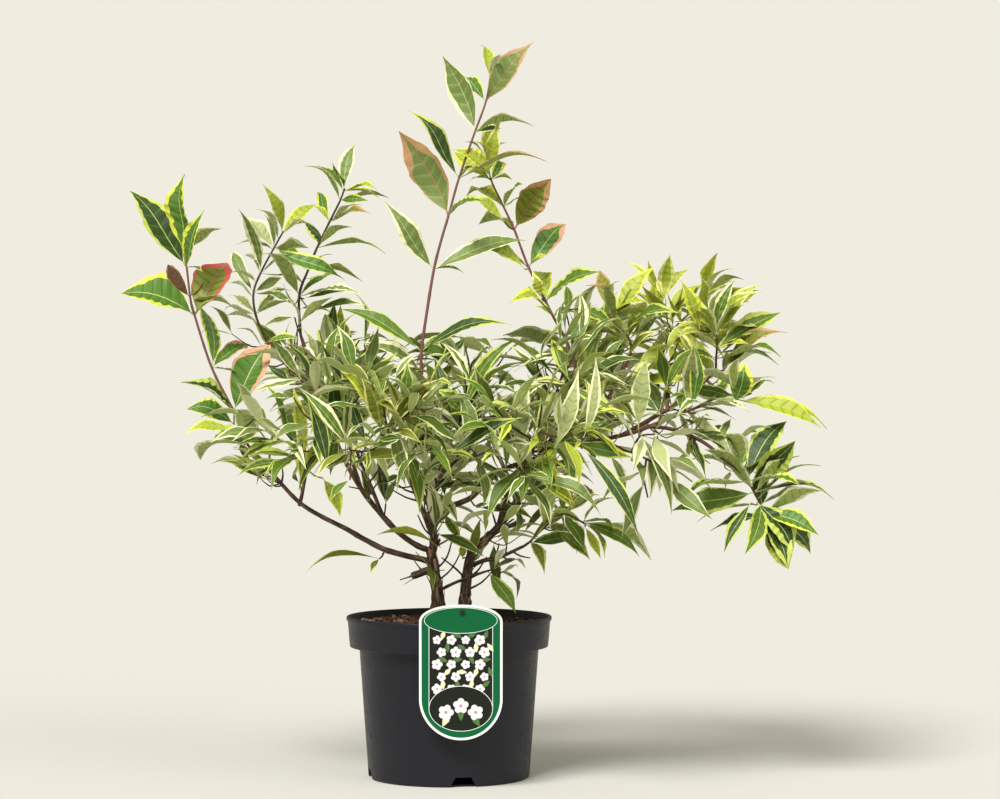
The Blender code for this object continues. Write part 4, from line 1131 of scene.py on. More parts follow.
chance = random.Random("bark flakes")
flake_corners, flake_faces = flake_form()
flakes = Gathered("bark_flakes")
for name, count in FLAKES.items():
    line, radii = limb_line(name)
    frames = ring_frames(line)
    last = len(line) - 1 if name in OLD_LIMBS else max(1, int((len(line) - 1) * FLAKE_REACH))
    for _ in range(count):
        spot = chance.uniform(0, last - 0.01)
        number = int(spot)
        middle = line[number].lerp(line[number + 1], spot - number)
        radius = radii[number] + (radii[number + 1] - radii[number]) * (spot - number)
        way = (line[number + 1] - line[number]).normalized() * chance.choice((1, 1, -1))
        angle = chance.uniform(0, 2 * math.pi)
        out = frames[number][1] * math.cos(angle) + frames[number][2] * math.sin(angle)
        out = (out - way * out.dot(way)).normalized()
        side = way.cross(out)
        long = chance.triangular(*FLAKE_LENGTH)
        wide = chance.uniform(*FLAKE_WIDTH)
        lift = chance.triangular(*FLAKE_LIFT)
        base = middle + out * radius * 0.97 * MM
        placed = [
            base + side * corner.x * wide * MM + way * corner.y * long * MM + out * corner.z * lift * MM
            for corner in flake_corners
        ]
        finish = chance.choice((bark, bark, inner_bark))
        places = [(corner.x * wide, radius, corner.y * long + 40 * number) for corner in flake_corners]
        flakes.add(placed, flake_faces, [finish] * len(flake_faces), places)
flakes.piece("old_bark", sharp=40.0)

# %% [markdown]
# A variegated leaf has a green blade, an irregular lime, yellow or cream margin, a pale rib, and a dull
# paler underside. Late in the season some margins turn orange, peach or coral. These colours have a place
# on each leaf, so each zone is a material of one plain tone, and the mesh itself says which face is which.
# The tones are named once and put together as tints, which are dealt out by leaf or by spray below. Each
# blade also has a tone for its narrow sunken vein rows. Where that tone is paler it is the veins' own colour,
# and where it is darker it is painted shade in the furrows. The underside's vein rows are darker throughout,
# which is painted shade along the veins.

# %% Leaf finishes
RIPPLES = 7.0
SKIN_CELL = 2.2


def leaf_finish(name, base, roughness):
    """Leaf skin: one plain tone, a waxy gloss, and fine ripples that run across the leaf."""
    material, shader = new_material(name, base, roughness, ior=1.45, specular=0.4)
    place = add_node(material, "ShaderNodeSeparateXYZ", links={"Vector": carried_place(material)})
    to_turns = {"operation": "MULTIPLY", 1: 2 * math.pi * RIPPLES}
    turns = add_node(material, "ShaderNodeMath", to_turns, {0: place.outputs["Y"]}).outputs[0]
    wave = add_node(material, "ShaderNodeMath", {"operation": "SINE"}, {0: turns}).outputs[0]
    cells = add_noise(material, object_place(material), 1 / (SKIN_CELL * MM), 3.0)
    height = add_node(material, "ShaderNodeMath", {"operation": "MULTIPLY_ADD", 1: 0.3}, {0: wave, 2: cells})
    add_relief(material, shader, height.outputs[0], 0.6, 0.8)
    return material


# Blade tone, then vein-row tone: a paler one is the veins' colour, a darker one is painted shade in the
# furrows
BLADES = {
    "deep": ("#33491A", "#435A27"),
    "mid": ("#56701F", "#617A28"),
    "bright": ("#557A28", "#456820"),
    "olive": ("#7A8228", "#666C1E"),
    "grey": ("#6C7E3E", "#7A8C4C"),
    "pale": ("#A8B074", "#8E9860"),
    "lime": ("#A2AE34", "#8A962A"),
    "maroon": ("#5E3C2E", "#7A5442"),
}
MARGINS = {
    "lime": "#BBC65A",
    "yellow": "#D2D44A",
    "straw": "#DCD886",
    "cream": "#E8E7B4",
    "ochre": "#B88E60",
    "peach": "#D6A27C",
    "coral": "#C05448",
}
# Underside tone, then vein-row tone, which is darker: painted shade along the veins
UNDERS = {
    "green": ("#A0AE62", "#87954E"),
    "pale": ("#C6CC98", "#AEB582"),
    "brown": ("#80604A", "#6A4C3A"),
}
UNDER_MARGINS = {"cream": "#E2E4B8", "lime": "#CCD26E", "rust": "#B88C68"}
RIBS = {"pale": "#AEBA70", "red": "#A8705A"}


def finishes_for(tones, kind, roughness):
    """A leaf skin for each named tone."""
    return {name: leaf_finish(f"{name} {kind}", tone, roughness) for name, tone in tones.items()}


blade_of = finishes_for({name: tones[0] for name, tones in BLADES.items()}, "leaf blade", 0.46)
# Vein finishes, upper and under: vein colour where paler than the blade, painted furrow shade where darker
vein_and_furrow_shade_of = finishes_for({name: tones[1] for name, tones in BLADES.items()}, "leaf vein", 0.5)
under_of = finishes_for({name: tones[0] for name, tones in UNDERS.items()}, "underside", 0.62)
under_vein_and_furrow_shade_of = finishes_for({name: tones[1] for name, tones in UNDERS.items()}, "underside vein", 0.62)
margin_of = finishes_for(MARGINS, "leaf margin", 0.50)
under_margin_of = finishes_for(UNDER_MARGINS, "underside margin", 0.60)
rib_of = finishes_for(RIBS, "leaf rib", 0.50)

# A tint's vein tones are partly vein colour and partly painted furrow shade
Tint = namedtuple("Tint", "blade vein margin rib under under_vein under_margin")


def tint(blade, margin, rib="pale", under="green", under_margin="cream"):
    upper = blade_of[blade], vein_and_furrow_shade_of[blade], margin_of[margin], rib_of[rib]
    return Tint(*upper, under_of[under], under_vein_and_furrow_shade_of[under], under_margin_of[under_margin])


TINTS = {
    "deep": tint("deep", "lime"),
    "mid": tint("mid", "lime"),
    "mid_cream": tint("mid", "cream"),
    "bright": tint("bright", "yellow"),
    "olive": tint("olive", "straw", under_margin="lime"),
    "grey": tint("grey", "cream", under="pale"),
    "pale": tint("pale", "cream", under="pale"),
    "lime": tint("lime", "yellow", under_margin="lime"),
    "straw": tint("lime", "straw", under="pale"),
    "young": tint("olive", "ochre", "red", under_margin="rust"),
    "grey_young": tint("grey", "ochre", "red", under_margin="rust"),
    "peach": tint("bright", "peach", under_margin="rust"),
    "coral": tint("olive", "coral", "red", under_margin="rust"),
    "maroon": tint("maroon", "ochre", "red", under="brown", under_margin="rust"),
}
print(len(TINTS), "tints")

# %% [markdown]
# One leaf is two grids that share their edge: an upper side of five strips, which are margin, blade, rib,
# blade and margin, and an underside a fraction of a millimetre below it. The outline is a pointed oval on a
# short stalk, and teeth are rim corners pushed out in turn. On a fine form, every third row is a narrow
# sunken one, which is a vein, and the rows between them bulge, which gives the quilted look of a weigela.
# The vein rows take their own tone, which is partly the veins' colour and partly painted furrow shade.
# The line between blade and margin wanders at random, as variegation does. A leaf then is one of these
# forms, stretched, folded, twisted and arched between its own base and tip.

# %% Leaf forms
STALK_SHARE = 0.07
STALK_WIDTH = 0.06
RIB_WIDTH = 0.035
TOOTH = 0.05
QUILT = 0.026
LEAF_DEEP = 0.007
VEIN_SWEEP = 0.28
TIP_TAPER = 1.7
FINE_ROWS = 22
PLAIN_ROWS = 9
WALK_STEP = 0.08
WALK_IN = 0.16
WALK_OUT = 0.10
WIDEST_BLADE = 0.93
LEAST_BLADE = 0.14
LeafForm = namedtuple("LeafForm", "corners places faces zones")
# Face zones. The vein zones are partly vein colour and partly painted shade of the furrows
BLADE, VEIN_AND_FURROW_SHADE, MARGIN, RIB, UNDER, UNDER_VEIN_AND_FURROW_SHADE, UNDER_MARGIN = range(7)


def width_at(share, fullness):
    """Half the width at a share of the blade's length, 1 at its widest: an oval with a drawn-out tip."""
    foot, point = 0.74 - 0.12 * fullness, 1.34 - 0.42 * fullness
    widest = foot / (foot + point)
    return (share**foot * (1 - share) ** point) / (widest**foot * (1 - widest) ** point)


def margin_walk(chance, start, rows, tip_from):
    """Where the blade gives way to the margin on each row, as a share of the half width."""
    walk = []
    here = start
    for row in range(rows + 1):
        there = here + chance.uniform(-WALK_STEP, WALK_STEP)
        here = max(start - WALK_IN, min(there, start + WALK_OUT, WIDEST_BLADE))
        past_turn = max(0.0, row / rows - tip_from)
        walk.append(max(LEAST_BLADE, here - TIP_TAPER * past_turn))
    return walk


def row_share(row, rows, fine):
    """How far along the blade a row is. On a fine form every third step is a narrow one, the vein."""
    if not fine:
        return (row - 1) / (rows - 1)
    veins, step = divmod(row - 1, 3)
    return min(1.0, (veins + (0.0, 0.22, 0.6)[step]) / ((rows - 1) / 3))


def leaf_form(chance, fullness, margin_start, fine, tip_from=1.1):
    """One leaf of unit length and half width, as corners, places, faces and the zone of each face."""
    rows = FINE_ROWS if fine else PLAIN_ROWS
    walks = [margin_walk(chance, margin_start, rows, tip_from) for _ in range(2)]
    wave = chance.uniform(0.01, 0.04)
    shape = bmesh.new()
    place_of = shape.verts.layers.float_vector.new("place")
    zone_of = shape.faces.layers.int.new("zone")
    for columns, upper in ((5, True), (4, False)):
        before = set(shape.verts)
        bmesh.ops.create_grid(shape, x_segments=columns, y_segments=rows, size=0.5)
        fresh = [corner for corner in shape.verts if corner not in before]
        for face in {face for corner in fresh for face in corner.link_faces}:
            middle = face.calc_center_median()
            column = int((middle.x + 0.5) * columns)
            row = int((middle.y + 0.5) * rows)
            sunk = fine and row % 3 == 1 and row > 1
            at_edge = column in (0, columns - 1)
            if upper:
                # A sunken vein row takes the vein tone, partly vein colour and partly painted furrow shade
                flat = VEIN_AND_FURROW_SHADE if sunk else BLADE
                face[zone_of] = MARGIN if at_edge else RIB if column == 2 or row == 0 else flat
            else:
                face[zone_of] = UNDER_MARGIN if at_edge else UNDER_VEIN_AND_FURROW_SHADE if sunk else UNDER
                face.normal_flip()
        for corner in fresh:
            column = round((corner.co.x + 0.5) * columns)
            row = round((corner.co.y + 0.5) * rows)
            left, right = walks[0][row], walks[1][row]
            lines = (-1, -left, -RIB_WIDTH, RIB_WIDTH, right, 1) if upper else (-1, -left, 0, right, 1)
            aside = lines[column]
            share, half = row * STALK_SHARE, STALK_WIDTH
            bulge = 0.0
            if row > 1:
                along = row_share(row, rows, fine)
                at_rim = abs(aside) == 1 and row < rows
                tooth = TOOTH * (1 if (row // (3 if fine else 1)) % 2 else -0.4) if at_rim else 0.0
                half = width_at(along, fullness) * (1 + tooth) if row < rows else 0.0
                share = STALK_SHARE + (1 - STALK_SHARE) * along
                raised = (row - 1) % 3 == 2 if fine else row % 2 == 0
                bulge = (QUILT if raised else -QUILT * 0.4) * 4 * abs(aside) * (1 - abs(aside)) * half
            share += VEIN_SWEEP * abs(aside) * half * (1 - share) * 0.6
            side_wave = wave * math.sin(11 * share + (2 if aside > 0 else 0)) * aside**2 * half
            deep = 0.0 if upper else LEAF_DEEP * (1 - aside**2) * (1.8 if aside == 0 else 1.0)
            corner.co = Vector((aside * half, share, bulge + side_wave - deep))
            corner[place_of] = (aside, share, 0.0)
    bmesh.ops.remove_doubles(shape, verts=shape.verts, dist=0.0005)
    bmesh.ops.dissolve_degenerate(shape, edges=shape.edges, dist=0.0002)
    places = [tuple(corner[place_of]) for corner in shape.verts]
    zones = [face[zone_of] for face in shape.faces]
    corners, faces = to_lists(shape)
    return LeafForm(corners, places, faces, zones)


chance = random.Random("leaf forms")
MARGIN_STARTS = ((0.52, 1.1), (0.72, 1.1), (0.88, 0.52), (0.84, 1.1))
TIPPED = 2
forms_of = {
    fine: [
        [leaf_form(chance, fullness, start, fine, tip_from) for start, tip_from in MARGIN_STARTS]
        for fullness in (0.0, 0.5, 1.0)
    ]
    for fine in (True, False)
}
for fine, groups in forms_of.items():
    print("fine" if fine else "plain", "leaf form of", len(groups[0][0].faces), "faces")

# %% [markdown]
# A leaf is known by its base, its tip, the way that its upper side faces and its width. On its way there it
# is folded along the rib, twisted, arched and bowed a little, each by chance. A leaf that would show its
# underside to the front is mostly turned over, as a plant turns its leaves to the light.

# %% Laying a leaf
STEEP = 0.6
TURNED_SHARE = 0.85
TO_VIEWER = Vector((0, -1, 0.25))
END_ON_WIDTH = 0.25
MORE_ARCH = 1.5
FOLD = (0.12, 0.60)
TWIST = 0.28
DROOP = (0.0, 0.05)
SIDE_BOW = 0.03
Leaf = namedtuple("Leaf", "base tip face width arch root ample bow", defaults=(0.0,))


def leaf_axes(leaf):
    """The way of a leaf, its length, and the way that its upper side faces, square to it."""
    along = leaf.tip - leaf.base
    length = along.length
    along = along / length
    return along, length, (leaf.face - along * leaf.face.dot(along)).normalized()


TURNING = [margin_of[name] for name in ("ochre", "peach", "coral")]


def form_for(leaf, fine, finishes, chance):
    """Broad leaves take the fuller outlines, and leaves that turn colour do so from the tip."""
    fuller = min(2, max(0, int((leaf.width / (leaf.tip - leaf.base).length - 0.26) / 0.09)))
    forms = forms_of[fine][fuller]
    return forms[TIPPED] if finishes.margin in TURNING else chance.choice(forms)


def lay_leaf(gathered, leaf, fine, finishes, chance, shown=False):
    """Stretches a form between a leaf's base and tip, then folds, twists and arches it."""
    form = form_for(leaf, fine, finishes, chance)
    along, length, up = leaf_axes(leaf)
    turned_over = abs(up.z) < STEEP and up.y > 0 and (shown or chance.random() < TURNED_SHARE)
    up = -up if turned_over else up
    if shown:
        up = up + TO_VIEWER * (0.4 + 0.9 * abs(along.z))
        up = (up - along * up.dot(along)).normalized()
    across = along.cross(up)
    seen_share = math.sqrt(max(0.0, 1 - along.y**2))
    half = leaf.width / 2 * (END_ON_WIDTH + (1 - END_ON_WIDTH) * seen_share)
    arch = leaf.arch * MORE_ARCH * (-1 if turned_over else 1)
    fold = chance.uniform(*FOLD)
    twist = chance.gauss(0, TWIST)
    droop = chance.uniform(*DROOP)
    quilt = min(length, leaf.width * 2.0)
    bow = leaf.bow + chance.gauss(0, SIDE_BOW)
    corners = []
    for corner in form.corners:
        share = corner.y
        aside = corner.x * half
        lift = abs(aside) * fold * (1 - 0.5 * share) + corner.z * quilt
        angle = twist * (share - 0.3)
        turned_aside = aside * math.cos(angle) - lift * math.sin(angle)
        turned_lift = aside * math.sin(angle) + lift * math.cos(angle)
        rise = 4 * arch * share * (1 - share) * length - droop * math.sin(math.pi * share * 2) * length
        side = turned_aside + 4 * bow * share * (1 - share) * length
        corners.append(leaf.base + along * (length * share) + across * side + up * (turned_lift + rise))
    gathered.add(corners, form.faces, [finishes[zone] for zone in form.zones], form.places)

# %% [markdown]
# The masses of leaves grow by the rule that the frame's solids were grown by. A shoot that shows clearly
# in the photo is a row of its nodes, each with the angle and the length of its two leaves as seen. The
# other masses have a stem, a number of side twigs and the usual habit of a weigela: leaves in opposite
# pairs, each pair a quarter turn from the last, smaller towards the tip.

# %% Shoot and mass tables
TWIG_SIDES = 3
TWIG_TIP_RADIUS = 0.9
SIDE_TWIG_RADIUS = 1.25
STEM_FIT = 0.92
NODE_STEP = 40.0
SIDE_PAIRS = 3
SIDE_TURN = 2.4
SIDE_FROM = 0.20
SIDE_TO = 0.82
SIDE_LEAF = 0.9
SIDE_SHRINK = 0.35
SIDE_LIFT = 0.30

# Leaves. Shares are of a leaf's length or of its stem's, and spreads are in degrees from the stem.
LEAF_BREADTH = 0.37
LEAF_THICK = 0.018
LEAST_THICK = 1.2
LEAF_FOLD = 0.16
LEAF_ARCH = (0.04, 0.10)
LEAF_ROLL = 24.0
NARROW_BREADTH = 0.16
LEAF_CLEAR = 0.7
OUTER_FROM = 0.2
ROOT_SUNK = 0.4
ROOT_THICK = 1.5
LEAF_TRIES = 5
FIRST_PAIR = 0.22
LAST_PAIR = 0.985
PAIR_SPREAD = (48, 70)
TIP_SPREAD = (20, 42)
TIP_SHRINK = 0.38
SHOOT_LEAF = 88.0
SHOOT_SHRINK = 34.0
LEAST_DEEP = 0.15
MOST_DEEP = 1.6
DEEP_SHARES = (1, 0.6, -1, -0.5)

Mass = namedtuple("Mass", "points pairs side_twigs side_length leaf hang")
SHOOTS = {
    "leader": ((-31, 0, 454, 156, 76, -30, 40), (-31, 0, 476, 153, 105, 16, 105),
        (-17, 4, 568, 126, 93, 18, 108), (-1, 8, 627, 120, 113, 16, 45), (11, 10, 670, 127, 94, 10, 100),
        (29, 12, 722, 113, 95, 2, 67), (41, 13, 755, 51, 85, 129, 43), (46, 13, 782, 104, 44, 60, 25)),
    "second_leader": ((133, 23, 484, 173, 74, 40, 60), (116, 25, 516, -12, 68, 165, 50),
        (108, 25, 532, 27, 68, 108, 38), (89, 26, 570, 50, 68, 157, 66), (73, 27, 612, 53, 68, 165, 42),
        (61, 27, 638, 159, 46, 47, 30), (47, 26, 668, 140, 55, 61, 25), (43, 26, 690, 73, 52, 125, 22)),
    "left_arch": ((-226, -43, 372, 96, 36, 197, 62), (-241, -45, 408, 63, 84, 147, 60),
        (-266, -48, 458, 98, 68, 36, 45), (-285, -50, 516, 63, 68, 163, 82),
        (-290, -50, 536, 117, 38, 55, 30), (-294, -51, 570, 127, 107, 70, 65),
        (-298, -51, 588, 88, 84, 120, 30)),
    "left_outer": ((-217, 16, 518, 175, 30, 40, 45), (-219, 20, 542, 122, 56, 20, 40),
        (-211, 24, 564, 107, 72, -15, 46), (-196, 28, 592, -24, 82, 100, 34),
        (-187, 29, 608, 110, 57, 45, 51)),
    "left_inner": ((-168, 52, 538, 2, 70, 130, 58), (-158, 54, 567, 150, 45, -10, 60),
        (-148, 55, 592, -6, 80, 120, 42), (-134, 56, 621, 117, 42, 6, 50), (-122, 56, 645, 137, 51, 7, 54),
        (-118, 56, 656, 78, 57, 110, 30)),
    "long_right": ((266, -44, 409, 86, 74, -46, 73), (292, -45, 417, 40, 50, 200, 45),
        (321, -46, 423, 83, 45, -18, 108), (336, -46, 428, 20, 36, 130, 30)),
    "right_drop": ((324, -71, 343, 127, 49, 4, 60), (334, -72, 331, 54, 80, 194, 72),
        (342, -74, 318, -5, 86, 193, 92), (348, -75, 305, -44, 79, 248, 56),
        (353, -76, 292, -68, 62, -20, 60)),
    "upper_right": ((204, 6, 482, 150, 60, 30, 60), (198, 9, 496, 169, 66, 20, 60),
        (186, 12, 509, 132, 52, 54, 78), (182, 13, 518, 103, 53, 80, 35)),
    "outer_right": ((299, 17, 468, 1, 67, 150, 60), (300, 18, 481, 28, 84, 170, 50),
        (298, 22, 500, 41, 64, 130, 50), (292, 24, 520, 35, 52, 110, 40)),
    "low_right": ((90, -31, 262, -64, 36, -13, 52), (106, -35, 278, -40, 50, 80, 50),
        (128, -40, 294, -61, 46, 40, 40), (150, -44, 284, -29, 87, -59, 42)),
    "low_twig": ((50, -35, 232, 60, 30, -5, 36), (56, -36, 229, -60, 40, 20, 22)),
}
MASSES = {
    "left_mid": Mass(((-108, -48, 378), (-122, -66, 412), (-132, -76, 440)), 5, 5, 85, 84, 0.30),
    "left_low": Mass(((-170, -84, 368), (-184, -98, 386)), 4, 3, 70, 76, 0.30),
    "centre": Mass(((16, -62, 376), (24, -80, 404), (28, -92, 430)), 5, 5, 85, 84, 0.30),
    "centre_right": Mass(((112, -72, 412), (122, -84, 436), (128, -92, 456)), 5, 5, 85, 84, 0.25),
    "crest": Mass(((246, 70, 492), (256, 84, 506), (266, 92, 516)), 5, 4, 75, 66, 0.05),
    "right_under": Mass(((212, -88, 360), (232, -98, 348), (246, -104, 334)), 5, 3, 60, 86, 0.60),
    "front_left": Mass(((-62, -132, 368), (-70, -162, 394), (-74, -182, 418)), 5, 5, 86, 83, 0.28),
    "front_right": Mass(((92, -142, 366), (100, -172, 392), (104, -192, 416)), 5, 5, 85, 84, 0.28),
    "left_back": Mass(((-125, 120, 412), (-135, 145, 448), (-138, 158, 474)), 5, 4, 80, 82, 0.25),
    "back_left": Mass(((-84, 145, 425), (-92, 178, 460), (-95, 200, 486)), 5, 5, 85, 84, 0.25),
    "back_centre": Mass(((26, 150, 446), (18, 180, 482), (12, 200, 512)), 5, 5, 85, 84, 0.25),
    "back_right": Mass(((150, 145, 448), (162, 176, 474), (168, 198, 498)), 5, 5, 85, 84, 0.25),
}
HANGING_LEAF_FROM = (-75, -9, 255)
HANGING_LEAF_WAY = 190.0
HANGING_LEAF_LENGTH = 84.0
HANGING_BUD_LENGTH = 26.0
HANGING_TWIG = 9.0
print(len(SHOOTS), "shoots and", len(MASSES), "masses")

# %% [markdown]
# No two leaves of different masses may cross, so every leaf is first tried as a simple closed blade against
# all that stands already. A tree of bounding boxes makes that test quick. A leaf has a few ways that it may
# take, and takes the first that is free.

# %% Space for growth
def blade(leaf, grown=0.0):
    """Corners and faces of a thin closed blade. Grown makes it that much wider and thicker, for a test."""
    along, length, up = leaf_axes(leaf)
    across = along.cross(up)
    half = leaf.width / 2 + grown
    thick = max(LEAF_THICK * length, LEAST_THICK * MM) / 2 + grown

    def spot(share, aside, lift):
        rise = 4 * leaf.arch * share * (1 - share) * length
        return leaf.base + along * (length * share) + across * aside + up * (rise + lift)

    rim = ((0.30, 0.90), (0.66, 0.80)) if leaf.ample else ((0.44, 1.0),)
    sunk = -leaf.root / length
    corners = [
        spot(sunk, 0, ROOT_THICK / 2 * MM),
        spot(sunk, 0, -ROOT_THICK / 2 * MM),
        spot(0.5, 0, thick),
        spot(0.5, 0, -thick),
    ]
    right = [spot(share, half * broad, LEAF_FOLD * half * broad) for share, broad in rim]
    left = [spot(share, -half * broad, LEAF_FOLD * half * broad) for share, broad in reversed(rim)]
    corners += [*right, leaf.tip + along * grown, *left]
    edge = list(range(4, len(corners)))
    faces = []
    for first, second in zip([0, *edge], [*edge, 0]):
        faces.append((2, first, second))
    for first, second in zip([1, *edge], [*edge, 1]):
        faces.append((3, second, first))
    faces.append((0, 1, edge[0]))
    faces.append((1, 0, edge[-1]))
    return corners, faces


def near(low, high, other_low, other_high):
    return all(low[axis] <= other_high[axis] and other_low[axis] <= high[axis] for axis in range(3))


def box_of(corners):
    low = Vector(min(corner[axis] for corner in corners) for axis in range(3))
    high = Vector(max(corner[axis] for corner in corners) for axis in range(3))
    return low, high


class Space:
    """What already stands round the plant, so that new growth keeps clear of it."""

    def __init__(self):
        self.solids = []

    def add(self, corners, faces, owner):
        """Adds a closed shape. In the mass that owns it, a leaf stands there by its outer part alone."""
        self.solids.append((*box_of(corners), BVHTree.FromPolygons(corners, faces), owner, True))

    def add_leaf(self, leaf, owner):
        whole = blade(leaf)
        outer = blade(outer_part(leaf))
        self.solids.append((*box_of(whole[0]), BVHTree.FromPolygons(*whole), owner, False))
        self.solids.append((*box_of(outer[0]), BVHTree.FromPolygons(*outer), owner, True))

    def add_mesh(self, mesh, owner):
        corners = [vertex.co.copy() for vertex in mesh.vertices]
        self.add(corners, [tuple(face.vertices) for face in mesh.polygons], owner)

    def touches(self, corners, faces, owner, own):
        """True where a shape meets a solid: one of its own mass where own is set, else one of another."""
        low, high = box_of(corners)
        tree = None
        for other_low, other_high, other, other_owner, stands in self.solids:
            if (other_owner == owner) != own or (own and not stands):
                continue
            if not near(low, high, other_low, other_high):
                continue
            tree = tree or BVHTree.FromPolygons(corners, faces)
            if tree.overlap(other):
                return True
        return False


def outer_part(leaf):
    """The leaf without the part of it that is next to its stem."""
    return leaf._replace(base=leaf.base.lerp(leaf.tip, OUTER_FROM), root=0.0)


def fitting_leaf(choices, space, owner, may_cross):
    """The first of a few ways of one leaf that fits, or None."""
    clear = [leaf for leaf in choices if not space.touches(*blade(leaf, LEAF_CLEAR * MM), owner, False)]
    for leaf in clear:
        if not space.touches(*blade(outer_part(leaf)), owner, True):
            return leaf
    return clear[0] if clear and may_cross else None


print("leaves keep", LEAF_CLEAR, "mm clear of other masses")

# %% [markdown]
# These are the rules of growth: where the pairs of leaves stand on a stem, which way they point, and how
# side twigs leave the stem. A seeded random generator for each mass makes it grow the same way each time.

# %% Rules of growth
def make_leaf(base, way, length, root, face, chance, ample=False, breadth=LEAF_BREADTH):
    return Leaf(
        base,
        base + way.normalized() * length,
        face,
        length * breadth * chance.uniform(0.88, 1.12),
        chance.uniform(*LEAF_ARCH),
        root * ROOT_SUNK,
        ample,
    )


def blade_side(way, outward, chance):
    """The way a blade's upper side faces: up and a little back to its stem, rolled by chance."""
    face = Vector((0, 0, 1)) - outward * 0.2
    face = (face - way * face.dot(way)).normalized()
    return Matrix.Rotation(chance.gauss(0, math.radians(LEAF_ROLL)), 3, way.normalized()) @ face


def line_length(line):
    return sum((second - first).length for first, second in zip(line, line[1:]))


def at_share(line, share):
    """The point and the way of a line at a share of its length."""
    left = share * line_length(line)
    for first, second in zip(line, line[1:]):
        step = (second - first).length
        if left <= step:
            return first.lerp(second, left / step), (second - first).normalized()
        left -= step
    return line[-1].copy(), (line[-1] - line[-2]).normalized()


def outward_at(way, angle):
    """A direction square to a stem's way, turned about it by an angle."""
    across = way.cross(Vector((0, 1, 0)))
    across = across.normalized() if across.length > 0.2 else Vector((1, 0, 0))
    return across * math.cos(angle) + way.cross(across).normalized() * math.sin(angle)


def pairs_along(line, first_radius, pairs, leaf_length, hang, chance, turn):
    """Opposite pairs of leaves up a stem, each pair a quarter turn from the last, in a few tries each."""
    slots = []
    for number in range(pairs):
        share = FIRST_PAIR + (LAST_PAIR - FIRST_PAIR) * (number / max(1, pairs - 1)) ** 0.9
        place, way = at_share(line, share)
        size = leaf_length * (1 - TIP_SHRINK * (number / pairs) ** 2) * chance.uniform(0.86, 1.1)
        root = (first_radius + (TWIG_TIP_RADIUS - first_radius) * share) * MM
        for side in (0, math.pi):
            choices = []
            for _ in range(LEAF_TRIES):
                angle = turn + side + math.pi / 2 * number + chance.gauss(0, 0.22)
                limits = PAIR_SPREAD if number < pairs - 1 else TIP_SPREAD
                spread = math.radians(chance.uniform(*limits))
                outward = outward_at(way, angle)
                ahead = way * math.cos(spread) + outward * math.sin(spread)
                ahead.z -= hang
                ahead.normalize()
                face = blade_side(ahead, outward, chance)
                choices.append(make_leaf(place, ahead, size * MM, root, face, chance))
            slots.append(choices)
    return slots


def grow_mass(mass, start, start_way, first_radius, chance):
    """One stem, its side twigs and the ways that their leaves may take."""
    points = [start, start + start_way * STRAIGHT_START * MM, *[seen(*point) for point in mass.points]]
    stem = smooth_line(points, LIMB_STEP * MM)
    twigs = [(stem, first_radius)]
    turn = chance.uniform(0, math.pi)
    sprays = [pairs_along(stem, first_radius, mass.pairs, mass.leaf, mass.hang, chance, turn)]
    for number in range(mass.side_twigs):
        share = SIDE_FROM + (SIDE_TO - SIDE_FROM) * number / max(1, mass.side_twigs - 1)
        place, way = at_share(stem, share)
        outward = outward_at(way, turn + SIDE_TURN * number + chance.gauss(0, 0.2))
        reach = mass.side_length * MM * (1 - SIDE_SHRINK * share) * chance.uniform(0.85, 1.15)
        lift = Vector((0, 0, SIDE_LIFT - mass.hang))
        middle = place + (way * 0.55 + outward * 0.95).normalized() * reach * 0.5
        end = middle + (way * 0.7 + outward * 0.6 + lift).normalized() * reach * 0.5
        twig = smooth_line([place, middle, end], LIMB_STEP * MM)
        twigs.append((twig, SIDE_TWIG_RADIUS))
        turn_here = chance.uniform(0, math.pi)
        size = mass.leaf * SIDE_LEAF
        sprays.append(
            pairs_along(twig, SIDE_TWIG_RADIUS, SIDE_PAIRS, size, mass.hang, chance, turn_here)
        )
    return twigs, sprays


def grow_shoot(rows, start, start_way, first_radius, chance):
    """A stem through its nodes, with the pair of leaves that shows at each.

    What a leaf lacks in length as seen, it has in depth, to the front or to the back.
    """
    nodes = [seen(*row[:3]) for row in rows]
    points = [start, start + start_way * STRAIGHT_START * MM, *nodes]
    stem = smooth_line(points, NODE_STEP * MM)
    tip_way = (nodes[-1] - nodes[-2]).normalized()
    stem.append(stem[-1] + tip_way * 3 * MM)
    slots = []
    for number, (row, node) in enumerate(zip(rows, nodes)):
        share = number / len(rows)
        full = SHOOT_LEAF - SHOOT_SHRINK * share**2
        root = (first_radius + (TWIG_TIP_RADIUS - first_radius) * share) * MM
        for side, (angle, length) in enumerate(((row[3], row[4]), (row[5], row[6]))):
            angle = math.radians(angle)
            hidden = math.sqrt(max(full**2 - length**2, (LEAST_DEEP * length) ** 2))
            depth = min(hidden, MOST_DEEP * length) * (1 if (number + side) % 2 else -1)
            toward = Vector((0, -0.7, 0)) * chance.choice((1, 1, -1))
            choices = []
            for share_deep in DEEP_SHARES:
                reach = Vector((math.cos(angle) * length, depth * share_deep, math.sin(angle) * length))
                outward = Vector((reach.x, reach.y, 0)).normalized()
                face = blade_side(reach.normalized(), outward, chance) + toward
                choices.append(make_leaf(node, reach, reach.length * MM, root, face, chance, True))
            slots.append(choices)
    return [(stem, first_radius)], [slots]


